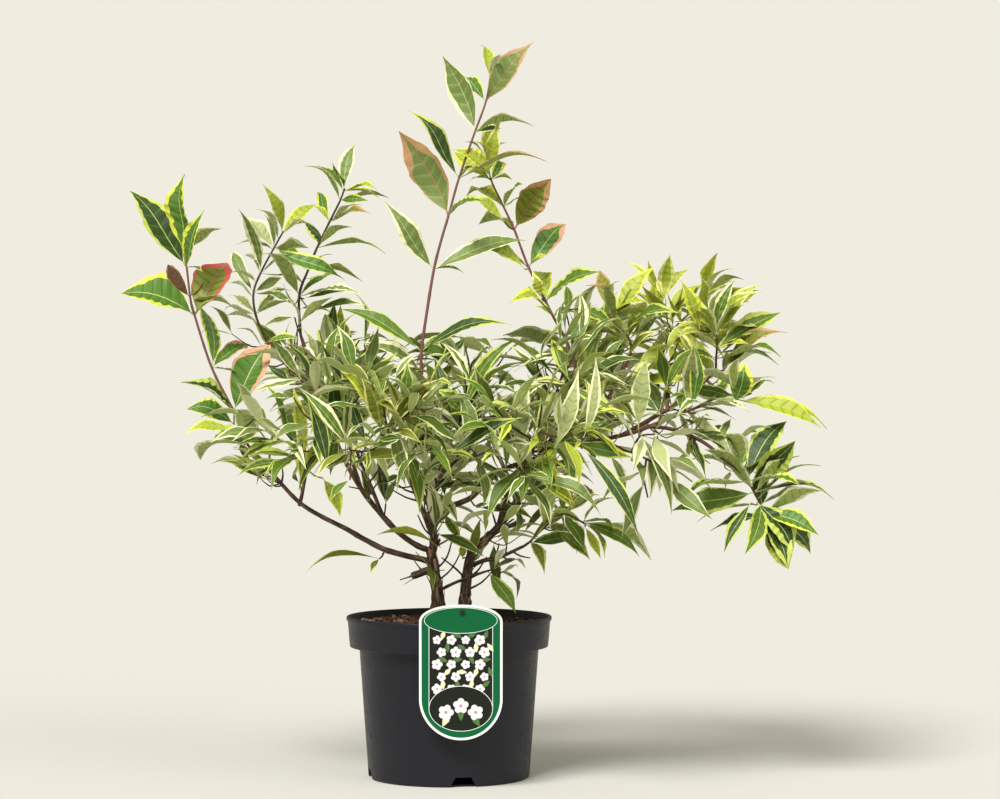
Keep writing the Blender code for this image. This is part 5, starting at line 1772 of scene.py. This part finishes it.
def grow_hanging_leaf(chance):
    """The narrow leaf that hangs by itself under the left arch, and a bud leaf beside it."""
    line, radii = limb_line("bough_left_arch")
    place = seen(*HANGING_LEAF_FROM)
    number = min(range(1, len(line) - 1), key=lambda spot: (line[spot] - place).length)
    arch_way = (line[number + 1] - line[number - 1]).normalized()
    down = Vector((0, 0, -1))
    down = (down - arch_way * down.dot(arch_way)).normalized()
    start = line[number] + down * (radii[number] + GAP) * MM
    knee = start + down * HANGING_TWIG / 2 * MM
    twig = [start, knee, knee + Vector((-1, -0.6, -1)).normalized() * HANGING_TWIG / 2 * MM]
    angle = math.radians(HANGING_LEAF_WAY)
    way = Vector((math.cos(angle), -0.1, math.sin(angle)))
    face = Vector((0, -0.5, 1))
    root = SIDE_TWIG_RADIUS * MM
    length = HANGING_LEAF_LENGTH * MM
    narrow = make_leaf(twig[-1], way, length, root, face, chance, True, NARROW_BREADTH)
    bud_way = Vector((-0.3, -0.6, -0.5))
    bud = make_leaf(twig[-1], bud_way, HANGING_BUD_LENGTH * MM, root, face, chance, True)
    return [(twig, SIDE_TWIG_RADIUS)], [[[narrow], [bud]]]


plans = []
for name, growth in {**SHOOTS, **MASSES}.items():
    start, way = next_start(f"bough_{name}")
    first_radius = LIMBS[f"bough_{name}"].last_radius * STEM_FIT
    grow = grow_mass if name in MASSES else grow_shoot
    chance = random.Random(f"foliage {name}")
    twigs, sprays = grow(growth, start, way, first_radius, chance)
    plans.append((name, twigs, sprays))
twigs, sprays = grow_hanging_leaf(random.Random("hanging leaf"))
plans.insert(0, ("hanging_leaf", twigs, sprays))
print(sum(len(slots) for _, _, sprays in plans for slots in sprays), "places for a leaf")

# %% [markdown]
# Each mass has its own dress: how broad its leaves are, and the tints that its leaves are dealt. Leaves of
# one spray grew in the same light, so most of a spray takes one tint. On the shoots that show clearly, the
# tint of each leaf is read off the photo, row by row from the foot of the shoot up.

# %% Dress of each mass
Dress = namedtuple("Dress", "breadth tints rows more small large", defaults=((), 2, 24, 44))
DRESS = {
    "hanging_leaf": Dress(0.20, ("olive",)),
    "leader": Dress(0.40, ("mid", "grey", "mid_cream", "deep"), (("grey", "mid", 0.24),
        ("mid", "deep", 0.19), ("grey", "grey", 0.27), ("grey_young", "mid", 0.36), ("deep", "young", 0.24),
        ("grey", "mid", 0.33), ("grey_young", "bright", 0.34), ("lime", "straw", 0.3)), 1),
    "second_leader": Dress(0.43, ("lime", "olive", "straw"), (("mid", "olive"), ("mid", "lime"),
        ("mid", "lime"), ("peach", "olive"), ("young", "lime"), ("lime", "bright"), ("lime", "bright"),
        ("straw", "lime")), 2, 22, 42),
    "left_arch": Dress(0.66, ("bright", "mid"), (("mid", "bright"), ("peach", "deep", 0.44),
        ("bright", "peach", 0.36), ("coral", "bright", 0.6), ("maroon", "coral", 0.3),
        ("deep", "bright", 0.36), ("bright", "young", 0.44)), 1, 26, 54),
    "left_outer": Dress(0.24, ("grey", "pale", "mid_cream", "grey"), (("grey", "grey"), ("grey", "grey"),
        ("grey", "mid"), ("bright", "mid"), ("straw", "lime", 0.3)), 5, 34, 60),
    "left_inner": Dress(0.27, ("bright", "lime", "mid", "grey"), (("grey", "mid"), ("mid", "lime"),
        ("lime", "deep"), ("bright", "young"), ("mid", "young"), ("grey", "mid")), 4, 28, 52),
    "long_right": Dress(0.25, ("pale", "grey", "mid_cream"), (("pale", "pale"), ("mid", "grey"),
        ("bright", "lime"), ("mid", "lime")), 4, 44, 76),
    "right_drop": Dress(0.42, ("bright", "mid", "deep", "deep"), (("mid", "mid"), ("deep", "mid"),
        ("deep", "mid", 0.34), ("deep", "mid"), ("deep", "bright")), 4, 56, 84),
    "upper_right": Dress(0.31, ("lime", "straw", "olive", "bright"), (("olive", "mid"), ("lime", "mid"),
        ("young", "lime"), ("young", "straw")), 5, 40, 74),
    "outer_right": Dress(0.31, ("lime", "straw", "bright", "lime"), (("mid", "lime"), ("mid", "straw"),
        ("straw", "lime"), ("lime", "straw")), 6, 40, 74),
    "low_right": Dress(0.34, ("mid", "olive", "mid_cream"), (), 3, 30, 56),
    "low_twig": Dress(0.30, ("mid", "grey"), (), 0),
    "left_mid": Dress(0.26, ("mid", "mid_cream", "deep", "grey"), (), 2, 50, 82),
    "left_low": Dress(0.26, ("mid", "bright", "grey"), (), 1, 44, 74),
    "centre": Dress(0.25, ("grey", "mid_cream", "deep", "mid"), (), 2, 50, 84),
    "centre_right": Dress(0.25, ("grey", "mid", "mid_cream", "olive"), (), 2, 50, 84),
    "crest": Dress(0.34, ("lime", "straw", "lime"), (), 3, 44, 72),
    "right_under": Dress(0.28, ("grey", "pale", "mid_cream"), (), 0),
    "front_left": Dress(0.25, ("mid", "mid_cream", "olive", "deep"), (), 2, 50, 84),
    "front_right": Dress(0.25, ("mid", "bright", "mid_cream", "lime"), (), 2, 50, 84),
    "left_back": Dress(0.28, ("mid", "deep", "olive"), (), 1, 44, 74),
    "back_left": Dress(0.28, ("mid", "deep", "grey"), (), 1, 44, 74),
    "back_centre": Dress(0.28, ("mid", "deep", "olive"), (), 1, 44, 74),
    "back_right": Dress(0.28, ("mid", "deep", "grey"), (), 1, 44, 74),
}
SPRAY_HOLD = 0.6


def pick_tint(dress, row, side, spray_tint, chance):
    """The tint that the photo shows at this place, or one dealt out to the spray."""
    if row is not None and row < len(dress.rows):
        return TINTS[dress.rows[row][side]]
    return TINTS[spray_tint if chance.random() < SPRAY_HOLD else chance.choice(dress.tints)]


print(len(DRESS), "masses have their dress")

# %% [markdown]
# The frame's solids stop at the second order of twigs. Here growth goes one order on: each twig also bears
# short twiglets with a few small leaves, and each node of a shoot a young pair in the angle between leaf
# and stem. They are dealt out by the same rule, and only where there is room inside the mass's own reach.

# %% Finer growth
FINE_STEP = 6.0
TWIG_RINGS = 7
TWIGLET_RADIUS = 0.8
TWIGLET_TIP = 0.45
TWIGLET_PAIRS = 2
TWIGLET_LENGTH = (22, 42)
AXIL_TRIES = 4
AXIL_REACH = 0.6
INSIDE = 0.4


def taper(line, first_radius, last_radius=TWIG_TIP_RADIUS):
    last = len(line) - 1
    return [first_radius + (last_radius - first_radius) * step / last for step in range(last + 1)]


def tube_parts(line, radii, sides):
    """A plain tube's corners and faces, to test the space with."""
    return to_lists(sweep(line, radii, sides))


def inside(corners, low, high):
    spare = Vector((INSIDE * MM,) * 3)
    low, high = low + spare, high - spare
    return all(low[axis] <= corner[axis] <= high[axis] for corner in corners for axis in range(3))


def fits(leaf, owner, reach, space):
    corners, faces = blade(leaf)
    return inside(corners, *reach) and not space.touches(corners, faces, owner, False)


def grow_twiglets(line, dress, owner, reach, space, chance):
    """Short twigs with small leaves, which leave a twig between its pairs of leaves."""
    twiglets = []
    for number in range(dress.more):
        place, way = at_share(line, 0.3 + 0.6 * number / dress.more + chance.uniform(-0.05, 0.05))
        angle = SIDE_TURN * number + chance.uniform(0, 2 * math.pi)
        outward = outward_at(way, angle)
        length = chance.uniform(*TWIGLET_LENGTH) * MM
        middle = place + (way * 0.5 + outward).normalized() * length * 0.5
        end = middle + (way * 0.7 + outward * 0.6 + Vector((0, 0, 0.15))).normalized() * length * 0.5
        twiglet = smooth_line([place, middle, end], LIMB_STEP / 2 * MM)
        size = chance.uniform(dress.small, dress.large)
        choices_of = pairs_along(twiglet, TWIGLET_RADIUS, TWIGLET_PAIRS, size, 0.2, chance, angle)
        if space.touches(*tube_parts(twiglet, taper(twiglet, TWIGLET_RADIUS), 3), owner, False):
            continue
        chosen = []
        for ways in choices_of:
            leaf = next((leaf for leaf in ways if fits(leaf, owner, reach, space)), None)
            chosen += [leaf] if leaf else []
        if chosen:
            twiglets.append((twiglet, chosen))
    return twiglets


def grow_axils(rows, dress, line, owner, reach, space, chance):
    """Young leaves in the angles between the leaves of a shoot and its stem."""
    leaves = []
    for row in rows:
        node = seen(*row[:3])
        nearest = min(range(len(line)), key=lambda spot: (line[spot] - node).length)
        for number in range(dress.more):
            back = chance.uniform(0, AXIL_REACH) if number > 1 else 0.0
            place = line[nearest].lerp(line[max(0, nearest - 1)], back)
            for _ in range(AXIL_TRIES):
                angle = 2.4 * number + chance.uniform(-0.9, 0.9)
                ahead = Vector((math.cos(angle), math.sin(angle), chance.uniform(-0.3, 0.9)))
                face = blade_side(ahead.normalized(), ahead, chance)
                length = chance.uniform(dress.small, dress.large) * MM
                leaf = make_leaf(place, ahead, length, 1.0 * MM, face, chance, True)
                if fits(leaf, owner, reach, space):
                    leaves.append(leaf)
                    space.add_leaf(leaf, owner)
                    break
    return leaves


space = Space()
for name in LIMBS:
    line, radii = limb_line(name)
    space.add(*tube_parts(line, radii, 7), name)
for piece in (pot, bed, card_piece):
    space.add_mesh(piece.data, piece.name)
for name, twigs, _ in plans:
    line, first_radius = twigs[0]
    space.add(*tube_parts(line, taper(line, first_radius), TWIG_SIDES), name)

grown = {}
for name, twigs, sprays in plans:
    may_cross = name in SHOOTS or name == "hanging_leaf"
    kept_twigs = [twigs[0]]
    kept_leaves = []
    for number, ((line, first_radius), slots) in enumerate(zip(twigs, sprays)):
        if number:
            parts = tube_parts(line, taper(line, first_radius), TWIG_SIDES)
            if space.touches(*parts, name, False):
                continue
            space.add(*parts, name)
            kept_twigs.append((line, first_radius))
        for place, choices in enumerate(slots):
            leaf = fitting_leaf(choices, space, name, may_cross)
            if leaf is None:
                continue
            kept_leaves.append((leaf, number, place))
            space.add_leaf(leaf, name)
    grown[name] = (kept_twigs, kept_leaves)
print(sum(len(leaves) for _, leaves in grown.values()), "leaves stand as on the solids")

fine_grown = {}
for name, (kept_twigs, kept_leaves) in grown.items():
    chance = random.Random(f"finer {name}")
    dress = DRESS[name]
    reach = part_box(f"foliage_{name}")
    twiglets = []
    if name in MASSES:
        for line, radius in kept_twigs:
            fresh = grow_twiglets(line, dress, name, reach, space, chance)
            for twiglet, leaves in fresh:
                for leaf in leaves:
                    space.add_leaf(leaf, name)
            twiglets += fresh
        fine_grown[name] = (twiglets, [])
    elif name in SHOOTS:
        line = kept_twigs[0][0]
        fine_grown[name] = ([], grow_axils(SHOOTS[name], dress, line, name, reach, space, chance))
    else:
        fine_grown[name] = ([], [])
on_twiglets = [leaf for twiglets, _ in fine_grown.values() for _, leaves in twiglets for leaf in leaves]
in_axils = [leaf for _, leaves in fine_grown.values() for leaf in leaves]
print(len(on_twiglets), "leaves on twiglets and", len(in_axils), "young leaves in axils")

# %% [markdown]
# Now the plan is drawn. Twigs are swept like the limbs, with fewer sides, and leaves are laid from the
# forms. The leaves of a mass become one piece and its twigs another, which together stand for that mass.
# Corners that would stand outside the frame's box, such as a tooth on the rim of the outermost leaf, are
# held to it.

# %% Leaves and twigs
TWIG_SKINS = {
    "leader": (red_shoot, red_shoot),
    "second_leader": (red_shoot, red_shoot),
    "left_arch": (red_shoot, red_shoot),
}
YOUNG_FROM = 0.45
END_ON = 0.75
SPRAY_TINTS = 40
TWIGLET_RINGS = 5


def held_piece(gathered, slot, nodes=(), sharp=30.0):
    """Holds every corner inside the frame's own box, and makes the piece."""
    for corner in gathered.corners:
        for axis in range(3):
            corner[axis] = max(cad_low[axis], min(cad_high[axis], corner[axis]))
    gathered.piece(slot, nodes, sharp)


# Windows through which the photo shows sky: left, right, low and high as seen from the front
SKY = ((-75, 98, 490, 600), (98, 130, 510, 600), (205, 292, 228, 292), (-240, -40, 250, 318))


def as_seen(spot):
    """Where a place shows in the photo, in millimetres on the plane through the pot's middle."""
    nearer = VIEW_AWAY / (VIEW_AWAY + spot.y / MM)
    return VIEW_X + (spot.x / MM - VIEW_X) * nearer, VIEW_Z + (spot.z / MM - VIEW_Z) * nearer


def before_sky(spot):
    """True for a place that shows in one of the windows."""
    x, z = as_seen(spot)
    return any(left < x < right and low < z < high for left, right, low, high in SKY)


def open_to_sky(leaf):
    return before_sky(leaf.tip) or before_sky(leaf.base.lerp(leaf.tip, 0.5))


def until_sky(line):
    """The part of a twig before it reaches a window, or None where too little is left."""
    shown = next((number for number, spot in enumerate(line) if before_sky(spot)), len(line))
    return line[:shown] if shown > 1 else None


all_leaves = 0
for name, (kept_twigs, kept_leaves) in grown.items():
    chance = random.Random(f"dress {name}")
    dress = DRESS[name]
    leaves = Gathered(f"leaves_{name}")
    twigs = Gathered(f"twigs_{name}")
    twiglets, young = fine_grown[name]
    spray_tints = [chance.choice(dress.tints) for _ in range(SPRAY_TINTS)]
    skins = TWIG_SKINS.get(name, (brown_twig, brown_twig))

    for number, (line, first_radius) in enumerate(kept_twigs):
        line = until_sky(line) if name in MASSES else line
        if line is None:
            continue
        fine_line, fine_radii = finer(line, taper(line, first_radius), FINE_STEP * MM)
        skin = skins[0] if number == 0 and line[0].z < YOUNG_FROM else skins[1]
        if number:
            skin = chance.choice((brown_twig, green_shoot, brown_twig))
        relief = bark_relief(0.25, chance.uniform(0, 40))
        twigs.add_shape(sweep(fine_line, fine_radii, TWIG_RINGS, relief), skin)
    for twiglet, _ in twiglets:
        if before_sky(twiglet[-1]):
            continue
        fine_line, fine_radii = finer(twiglet, taper(twiglet, TWIGLET_RADIUS, TWIGLET_TIP), FINE_STEP * MM)
        skin = chance.choice((brown_twig, green_shoot))
        twigs.add_shape(sweep(fine_line, fine_radii, TWIGLET_RINGS), skin)

    fine = name in SHOOTS and name != "low_twig"
    for leaf, spray, place in kept_leaves:
        if name in MASSES and open_to_sky(leaf):
            continue
        row, side = (place // 2, place % 2) if name in SHOOTS else (None, 0)
        finishes = pick_tint(dress, row, side, spray_tints[spray], chance)
        shown = row is not None and row < len(dress.rows)
        breadth = dress.rows[row][2] if shown and len(dress.rows[row]) > 2 else dress.breadth
        wide = leaf._replace(width=leaf.width * breadth / LEAF_BREADTH)
        if name == "hanging_leaf":
            wide = leaf
        lay_leaf(leaves, wide, fine, finishes, chance, shown)
        all_leaves += 1
    for spray, (twiglet, chosen) in enumerate(twiglets):
        for leaf in chosen:
            if open_to_sky(leaf):
                continue
            finishes = pick_tint(dress, None, 0, spray_tints[spray % SPRAY_TINTS], chance)
            wide = leaf._replace(width=leaf.width * dress.breadth / LEAF_BREADTH)
            lay_leaf(leaves, wide, fine, finishes, chance)
            all_leaves += 1
    for leaf in young:
        if abs((leaf.tip - leaf.base).normalized().y) > END_ON:
            continue
        finishes = pick_tint(dress, None, 0, chance.choice(dress.tints), chance)
        lay_leaf(leaves, leaf, fine, finishes, chance)
        all_leaves += 1
    held_piece(leaves, "leaves", [f"foliage_{name}"])
    held_piece(twigs, "old_bark", [f"foliage_{name}"], sharp=60.0)
print(all_leaves, "leaves in the masses")

# %% [markdown]
# Old wood bears short shoots too. On a weigela they are twigs a few centimetres long with two or three pairs
# of narrow leaves, and many that lost their light have died and stay on as bare dark twigs. Both leave the
# boughs at their knots, so each bough is given a stretch, a number of shoots and the share that are bare.

# %% Short shoots on the old wood
SHORT_PAIRS = 2
SHORT_RADIUS = 1.0
BARE_RADIUS = 1.3
BARE_TIP = 0.7
BARE_LEAF = 10.0
NARROWER = 0.7
SHORT_RINGS = 6
Spurs = namedtuple("Spurs", "first last count bare long leaf tints")
SHORT_SHOOTS = {
    "trunk_left": Spurs(0.5, 1.0, 5, 0.6, (30, 60), (44, 70), ("mid", "deep", "grey")),
    "trunk_right": Spurs(0.4, 1.0, 5, 0.6, (30, 60), (44, 70), ("mid", "grey", "olive")),
    "bough_leader": Spurs(0.02, 0.95, 28, 0.35, (26, 66), (48, 84), ("mid", "grey", "mid_cream", "pale")),
    "bough_second_leader": Spurs(0.02, 0.95, 28, 0.35, (26, 66), (48, 84), ("mid", "grey", "olive")),
    "bough_left_inner": Spurs(0.45, 0.95, 9, 0.4, (24, 50), (40, 70), ("grey", "mid_cream", "pale")),
    "bough_left_outer": Spurs(0.3, 0.95, 8, 0.3, (24, 50), (36, 64), ("grey", "pale", "mid_cream")),
    "bough_left_arch": Spurs(0.62, 0.97, 8, 0.3, (20, 36), (46, 74), ("bright", "mid", "young")),
    "bough_left_mid": Spurs(0.4, 0.95, 6, 0.6, (22, 44), (40, 66), ("mid", "grey")),
    "bough_centre": Spurs(0.1, 0.8, 12, 0.35, (22, 52), (48, 80), ("grey", "mid", "pale", "deep")),
    "bough_centre_right": Spurs(0.05, 0.8, 14, 0.3, (22, 52), (48, 84), ("grey", "mid_cream", "mid")),
    "bough_long_right": Spurs(0.25, 0.97, 16, 0.2, (22, 50), (46, 82), ("pale", "grey", "mid_cream", "mid")),
    "bough_upper_right": Spurs(0.3, 0.95, 8, 0.1, (22, 44), (44, 76), ("lime", "olive", "grey", "straw")),
    "bough_outer_right": Spurs(0.2, 0.95, 9, 0.1, (22, 44), (44, 76), ("lime", "olive", "grey", "mid")),
    "bough_crest": Spurs(0.3, 0.95, 7, 0.1, (22, 44), (44, 76), ("lime", "straw", "olive")),
    "bough_right_drop": Spurs(0.3, 0.97, 7, 0.2, (18, 36), (40, 74), ("mid", "deep", "grey")),
    "bough_low_right": Spurs(0.3, 0.95, 4, 0.5, (20, 36), (36, 60), ("mid", "olive")),
    "bough_front_left": Spurs(0.3, 0.9, 8, 0.4, (20, 40), (44, 76), ("mid", "grey", "mid_cream")),
    "bough_front_right": Spurs(0.2, 0.9, 10, 0.4, (20, 40), (44, 80), ("mid", "grey", "mid_cream")),
}


def grow_short(limb, lift, chance):
    """The line of one short shoot: it leaves its limb sideways and turns upwards by lift."""
    line, radii = limb_line(limb)
    spec = SHORT_SHOOTS[limb]
    place, way = at_share(line, chance.uniform(spec.first, spec.last))
    outward = outward_at(way, chance.uniform(0, 2 * math.pi))
    reach = chance.uniform(*spec.long) * MM
    middle = place + (outward + way * 0.6).normalized() * reach * 0.45
    kink = Vector(chance.uniform(-0.35, 0.35) for _ in range(3))
    end = middle + (outward * 0.7 + way * 0.5 + Vector((0, 0, lift)) + kink).normalized() * reach * 0.55
    return smooth_line([place, middle, end], LIMB_STEP / 3 * MM)


short_leaves = Gathered("leaves_short_shoots")
short_twigs = Gathered("twigs_short_shoots")
bare_count = 0
leafy_count = 0
for limb, spec in SHORT_SHOOTS.items():
    chance = random.Random(f"short shoots {limb}")
    for _ in range(spec.count):
        bare = chance.random() < spec.bare
        line = grow_short(limb, 0.15 if bare else 0.6, chance)
        spray_tint = TINTS[chance.choice(spec.tints)]
        angle = chance.uniform(0, math.pi)
        size = BARE_LEAF if bare else chance.uniform(*spec.leaf)
        choices_of = pairs_along(line, SHORT_RADIUS, SHORT_PAIRS, size, 0.15, chance, angle)
        skin = dry_twig if bare else chance.choice((brown_twig, green_shoot))
        if before_sky(line[-1]):
            continue
        if not bare:
            chosen = []
            for choices in choices_of:
                free = (leaf for leaf in choices if not space.touches(*blade(leaf), limb, False))
                leaf = next(free, None)
                if leaf and inside(blade(leaf)[0], cad_low, cad_high) and not open_to_sky(leaf):
                    chosen.append(leaf)
            if not chosen:
                continue
            for leaf in chosen:
                space.add_leaf(leaf, limb)
                narrow = leaf._replace(width=leaf.width * NARROWER)
                lay_leaf(short_leaves, narrow, False, spray_tint, chance)
                leafy_count += 1
        else:
            bare_count += 1
        radii = taper(line, BARE_RADIUS, BARE_TIP) if bare else taper(line, SHORT_RADIUS, TWIGLET_TIP)
        fine_line, fine_radii = finer(line, radii, FINE_STEP * MM)
        relief = bark_relief(0.4, chance.uniform(0, 40))
        short_twigs.add_shape(sweep(fine_line, fine_radii, SHORT_RINGS, relief), skin)
print(leafy_count, "leaves on short shoots,", bare_count, "bare twigs")
held_piece(short_leaves, "leaves")
short_twigs.piece("old_bark", sharp=60.0)

# %% [markdown]
# In front of the crown some leaves are large enough to be told one by one in the photo, such as the pale
# upright ones on the long bough. Each is given by where its base and its tip show, how broad it is, how far
# it bows sideways and its tint. It grows from the nearest twig on a short stalk, as the others do.

# %% Leaves told one by one
TOLD_LEAVES = (
    (-112, 368, -170, 437, 0.20, 0.04, "mid_cream"), (-136, 345, -160, 426, 0.20, 0.03, "deep"),
    (-157, 364, -175, 437, 0.20, -0.05, "lime"), (-178, 352, -238, 336, 0.22, 0.08, "mid"),
    (-189, 374, -241, 368, 0.22, 0.05, "deep"), (-77, 383, -129, 460, 0.20, 0.10, "lime"),
    (-74, 383, 0, 448, 0.20, -0.06, "olive"), (-76, 385, -98, 446, 0.42, 0.06, "olive"),
    (-89, 308, -101, 347, 0.24, 0.03, "deep"), (-71, 305, -80, 364, 0.24, 0.03, "deep"),
    (-71, 305, -57, 336, 0.26, -0.04, "grey"), (-142, 334, -122, 290, 0.34, -0.05, "lime"),
    (-111, 332, -134, 306, 0.26, 0.05, "mid"), (-60, 395, -43, 327, 0.24, 0.05, "grey"),
    (17, 406, -16, 433, 0.42, 0.04, "mid"), (17, 406, 49, 445, 0.40, 0.03, "deep"),
    (17, 406, 79, 492, 0.17, -0.10, "mid"), (2, 361, 83, 402, 0.22, -0.08, "deep"),
    (77, 351, 91, 444, 0.18, -0.05, "pale"), (98, 358, 102, 426, 0.20, 0.05, "olive"),
    (118, 367, 145, 456, 0.20, 0.05, "pale"), (150, 378, 164, 471, 0.15, 0.04, "pale"),
    (79, 336, 170, 292, 0.18, -0.06, "grey"), (149, 367, 212, 270, 0.15, -0.05, "deep"),
    (32, 301, 97, 285, 0.22, -0.06, "mid"), (57, 343, 23, 309, 0.26, 0.05, "mid"),
    (102, 332, 141, 304, 0.26, -0.05, "lime"), (180, 360, 198, 318, 0.24, -0.04, "grey"),
    (-17, 324, -28, 362, 0.50, 0.0, "grey"), (-17, 324, 41, 321, 0.24, -0.03, "deep"),
    (-5, 294, 13, 264, 0.36, 0.05, "mid"), (-14, 258, -82, 270, 0.15, 0.12, "lime"),
    (212, 389, 222, 470, 0.26, -0.04, "pale"), (272, 415, 277, 482, 0.24, 0.05, "bright"),
    (214, 382, 249, 292, 0.16, -0.07, "grey"), (277, 407, 317, 347, 0.22, -0.05, "pale"),
    (319, 419, 331, 464, 0.60, 0.06, "bright"), (297, 494, 351, 552, 0.26, -0.06, "straw"),
    (297, 498, 321, 558, 0.24, -0.05, "mid_cream"), (281, 500, 259, 556, 0.30, 0.05, "lime"),
    (307, 455, 379, 497, 0.26, -0.08, "young"), (236, 533, 270, 568, 0.30, -0.05, "straw"),
    (44, 229, 75, 182, 0.34, -0.04, "mid"), (15, 244, 17, 261, 0.50, 0.0, "straw"),
    (345, 306, 385, 252, 0.46, -0.06, "deep"), (324, 421, 417, 390, 0.27, -0.08, "lime"),
    (47, 670, 4, 702, 0.40, 0.12, "lime"), (42, 673, 56, 735, 0.26, 0.03, "straw"),
    (62, 621, 19, 649, 0.30, 0.06, "lime"), (85, 568, 32, 592, 0.30, 0.06, "lime"),
    (104, 535, 93, 565, 0.38, 0.0, "straw"), (-241, 394, -294, 411, 0.46, 0.10, "bright"),
    (-238, 389, -297, 382, 0.26, 0.12, "lime"), (-163, 535, -94, 538, 0.18, -0.08, "grey"),
    (-151, 521, -92, 527, 0.20, -0.06, "mid_cream"), (-173, 514, -208, 503, 0.26, 0.04, "grey"),
    (-174, 527, -211, 542, 0.26, 0.04, "grey"), (-149, 473, -107, 496, 0.34, -0.03, "mid"),
    (-206, 485, -167, 490, 0.26, -0.04, "bright"), (-204, 460, -178, 437, 0.34, -0.04, "deep"),
    (-173, 439, -211, 430, 0.28, 0.05, "grey"), (-174, 424, -206, 422, 0.26, 0.05, "mid_cream"),
    (151, 284, 213, 246, 0.26, -0.08, "mid"), (119, 276, 158, 242, 0.32, -0.06, "mid"),
    (152, 280, 170, 243, 0.26, -0.04, "lime"), (354, 278, 380, 232, 0.50, -0.03, "deep"),
    (338, 306, 308, 250, 0.24, 0.05, "deep"),
)
STALK_RADIUS = 0.9
STALK_SAG = 0.12
FRONT_WEIGHT = 0.12
FORWARD = 8.0
LEAN = 0.15
TOLD_FACE = Vector((0, -0.6, 1))


def shows_from(spot, x, z):
    """How far a place shows from x and z, with a little favour for places near the front."""
    spot_x, spot_z = as_seen(spot)
    return math.hypot(spot_x - x, spot_z - z) + FRONT_WEIGHT * spot.y / MM


stems = [spot for name in LIMBS for spot in limb_line(name)[0][2:]]
stems += [spot for kept_twigs, _ in grown.values() for line, _ in kept_twigs for spot in line[1:]]
told_leaves = Gathered("leaves_told")
told_stalks = Gathered("twigs_told")
chance = random.Random("told leaves")
for x, z, tip_x, tip_z, breadth, bow, tint_name in TOLD_LEAVES:
    nearest = min(stems, key=lambda spot: shows_from(spot, x, z))
    depth = nearest.y / MM - FORWARD
    base = seen(x, depth, z)
    tip = seen(tip_x, depth - LEAN * math.dist((x, z), (tip_x, tip_z)), tip_z)
    middle = nearest.lerp(base, 0.5) + Vector((0, 0, -STALK_SAG)) * (base - nearest).length
    stalk, radii = finer([nearest, middle, base], [STALK_RADIUS] * 3, FINE_STEP * MM)
    told_stalks.add_shape(sweep(stalk, radii, SHORT_RINGS), chance.choice((brown_twig, green_shoot)))
    width = (tip - base).length * breadth
    leaf = Leaf(base, tip, TOLD_FACE, width, chance.uniform(0.02, 0.08), 0.0, True, bow)
    lay_leaf(told_leaves, leaf, True, TINTS[tint_name], chance, True)
print(len(TOLD_LEAVES), "leaves told one by one")
held_piece(told_leaves, "leaves")
held_piece(told_stalks, "old_bark", sharp=60.0)

# %% [markdown]
# Leaves and twigs of the masses were held to the box of the frame's solids above. At the end the view layer
# is brought up to date.

# %% Finish
bpy.context.view_layer.update()
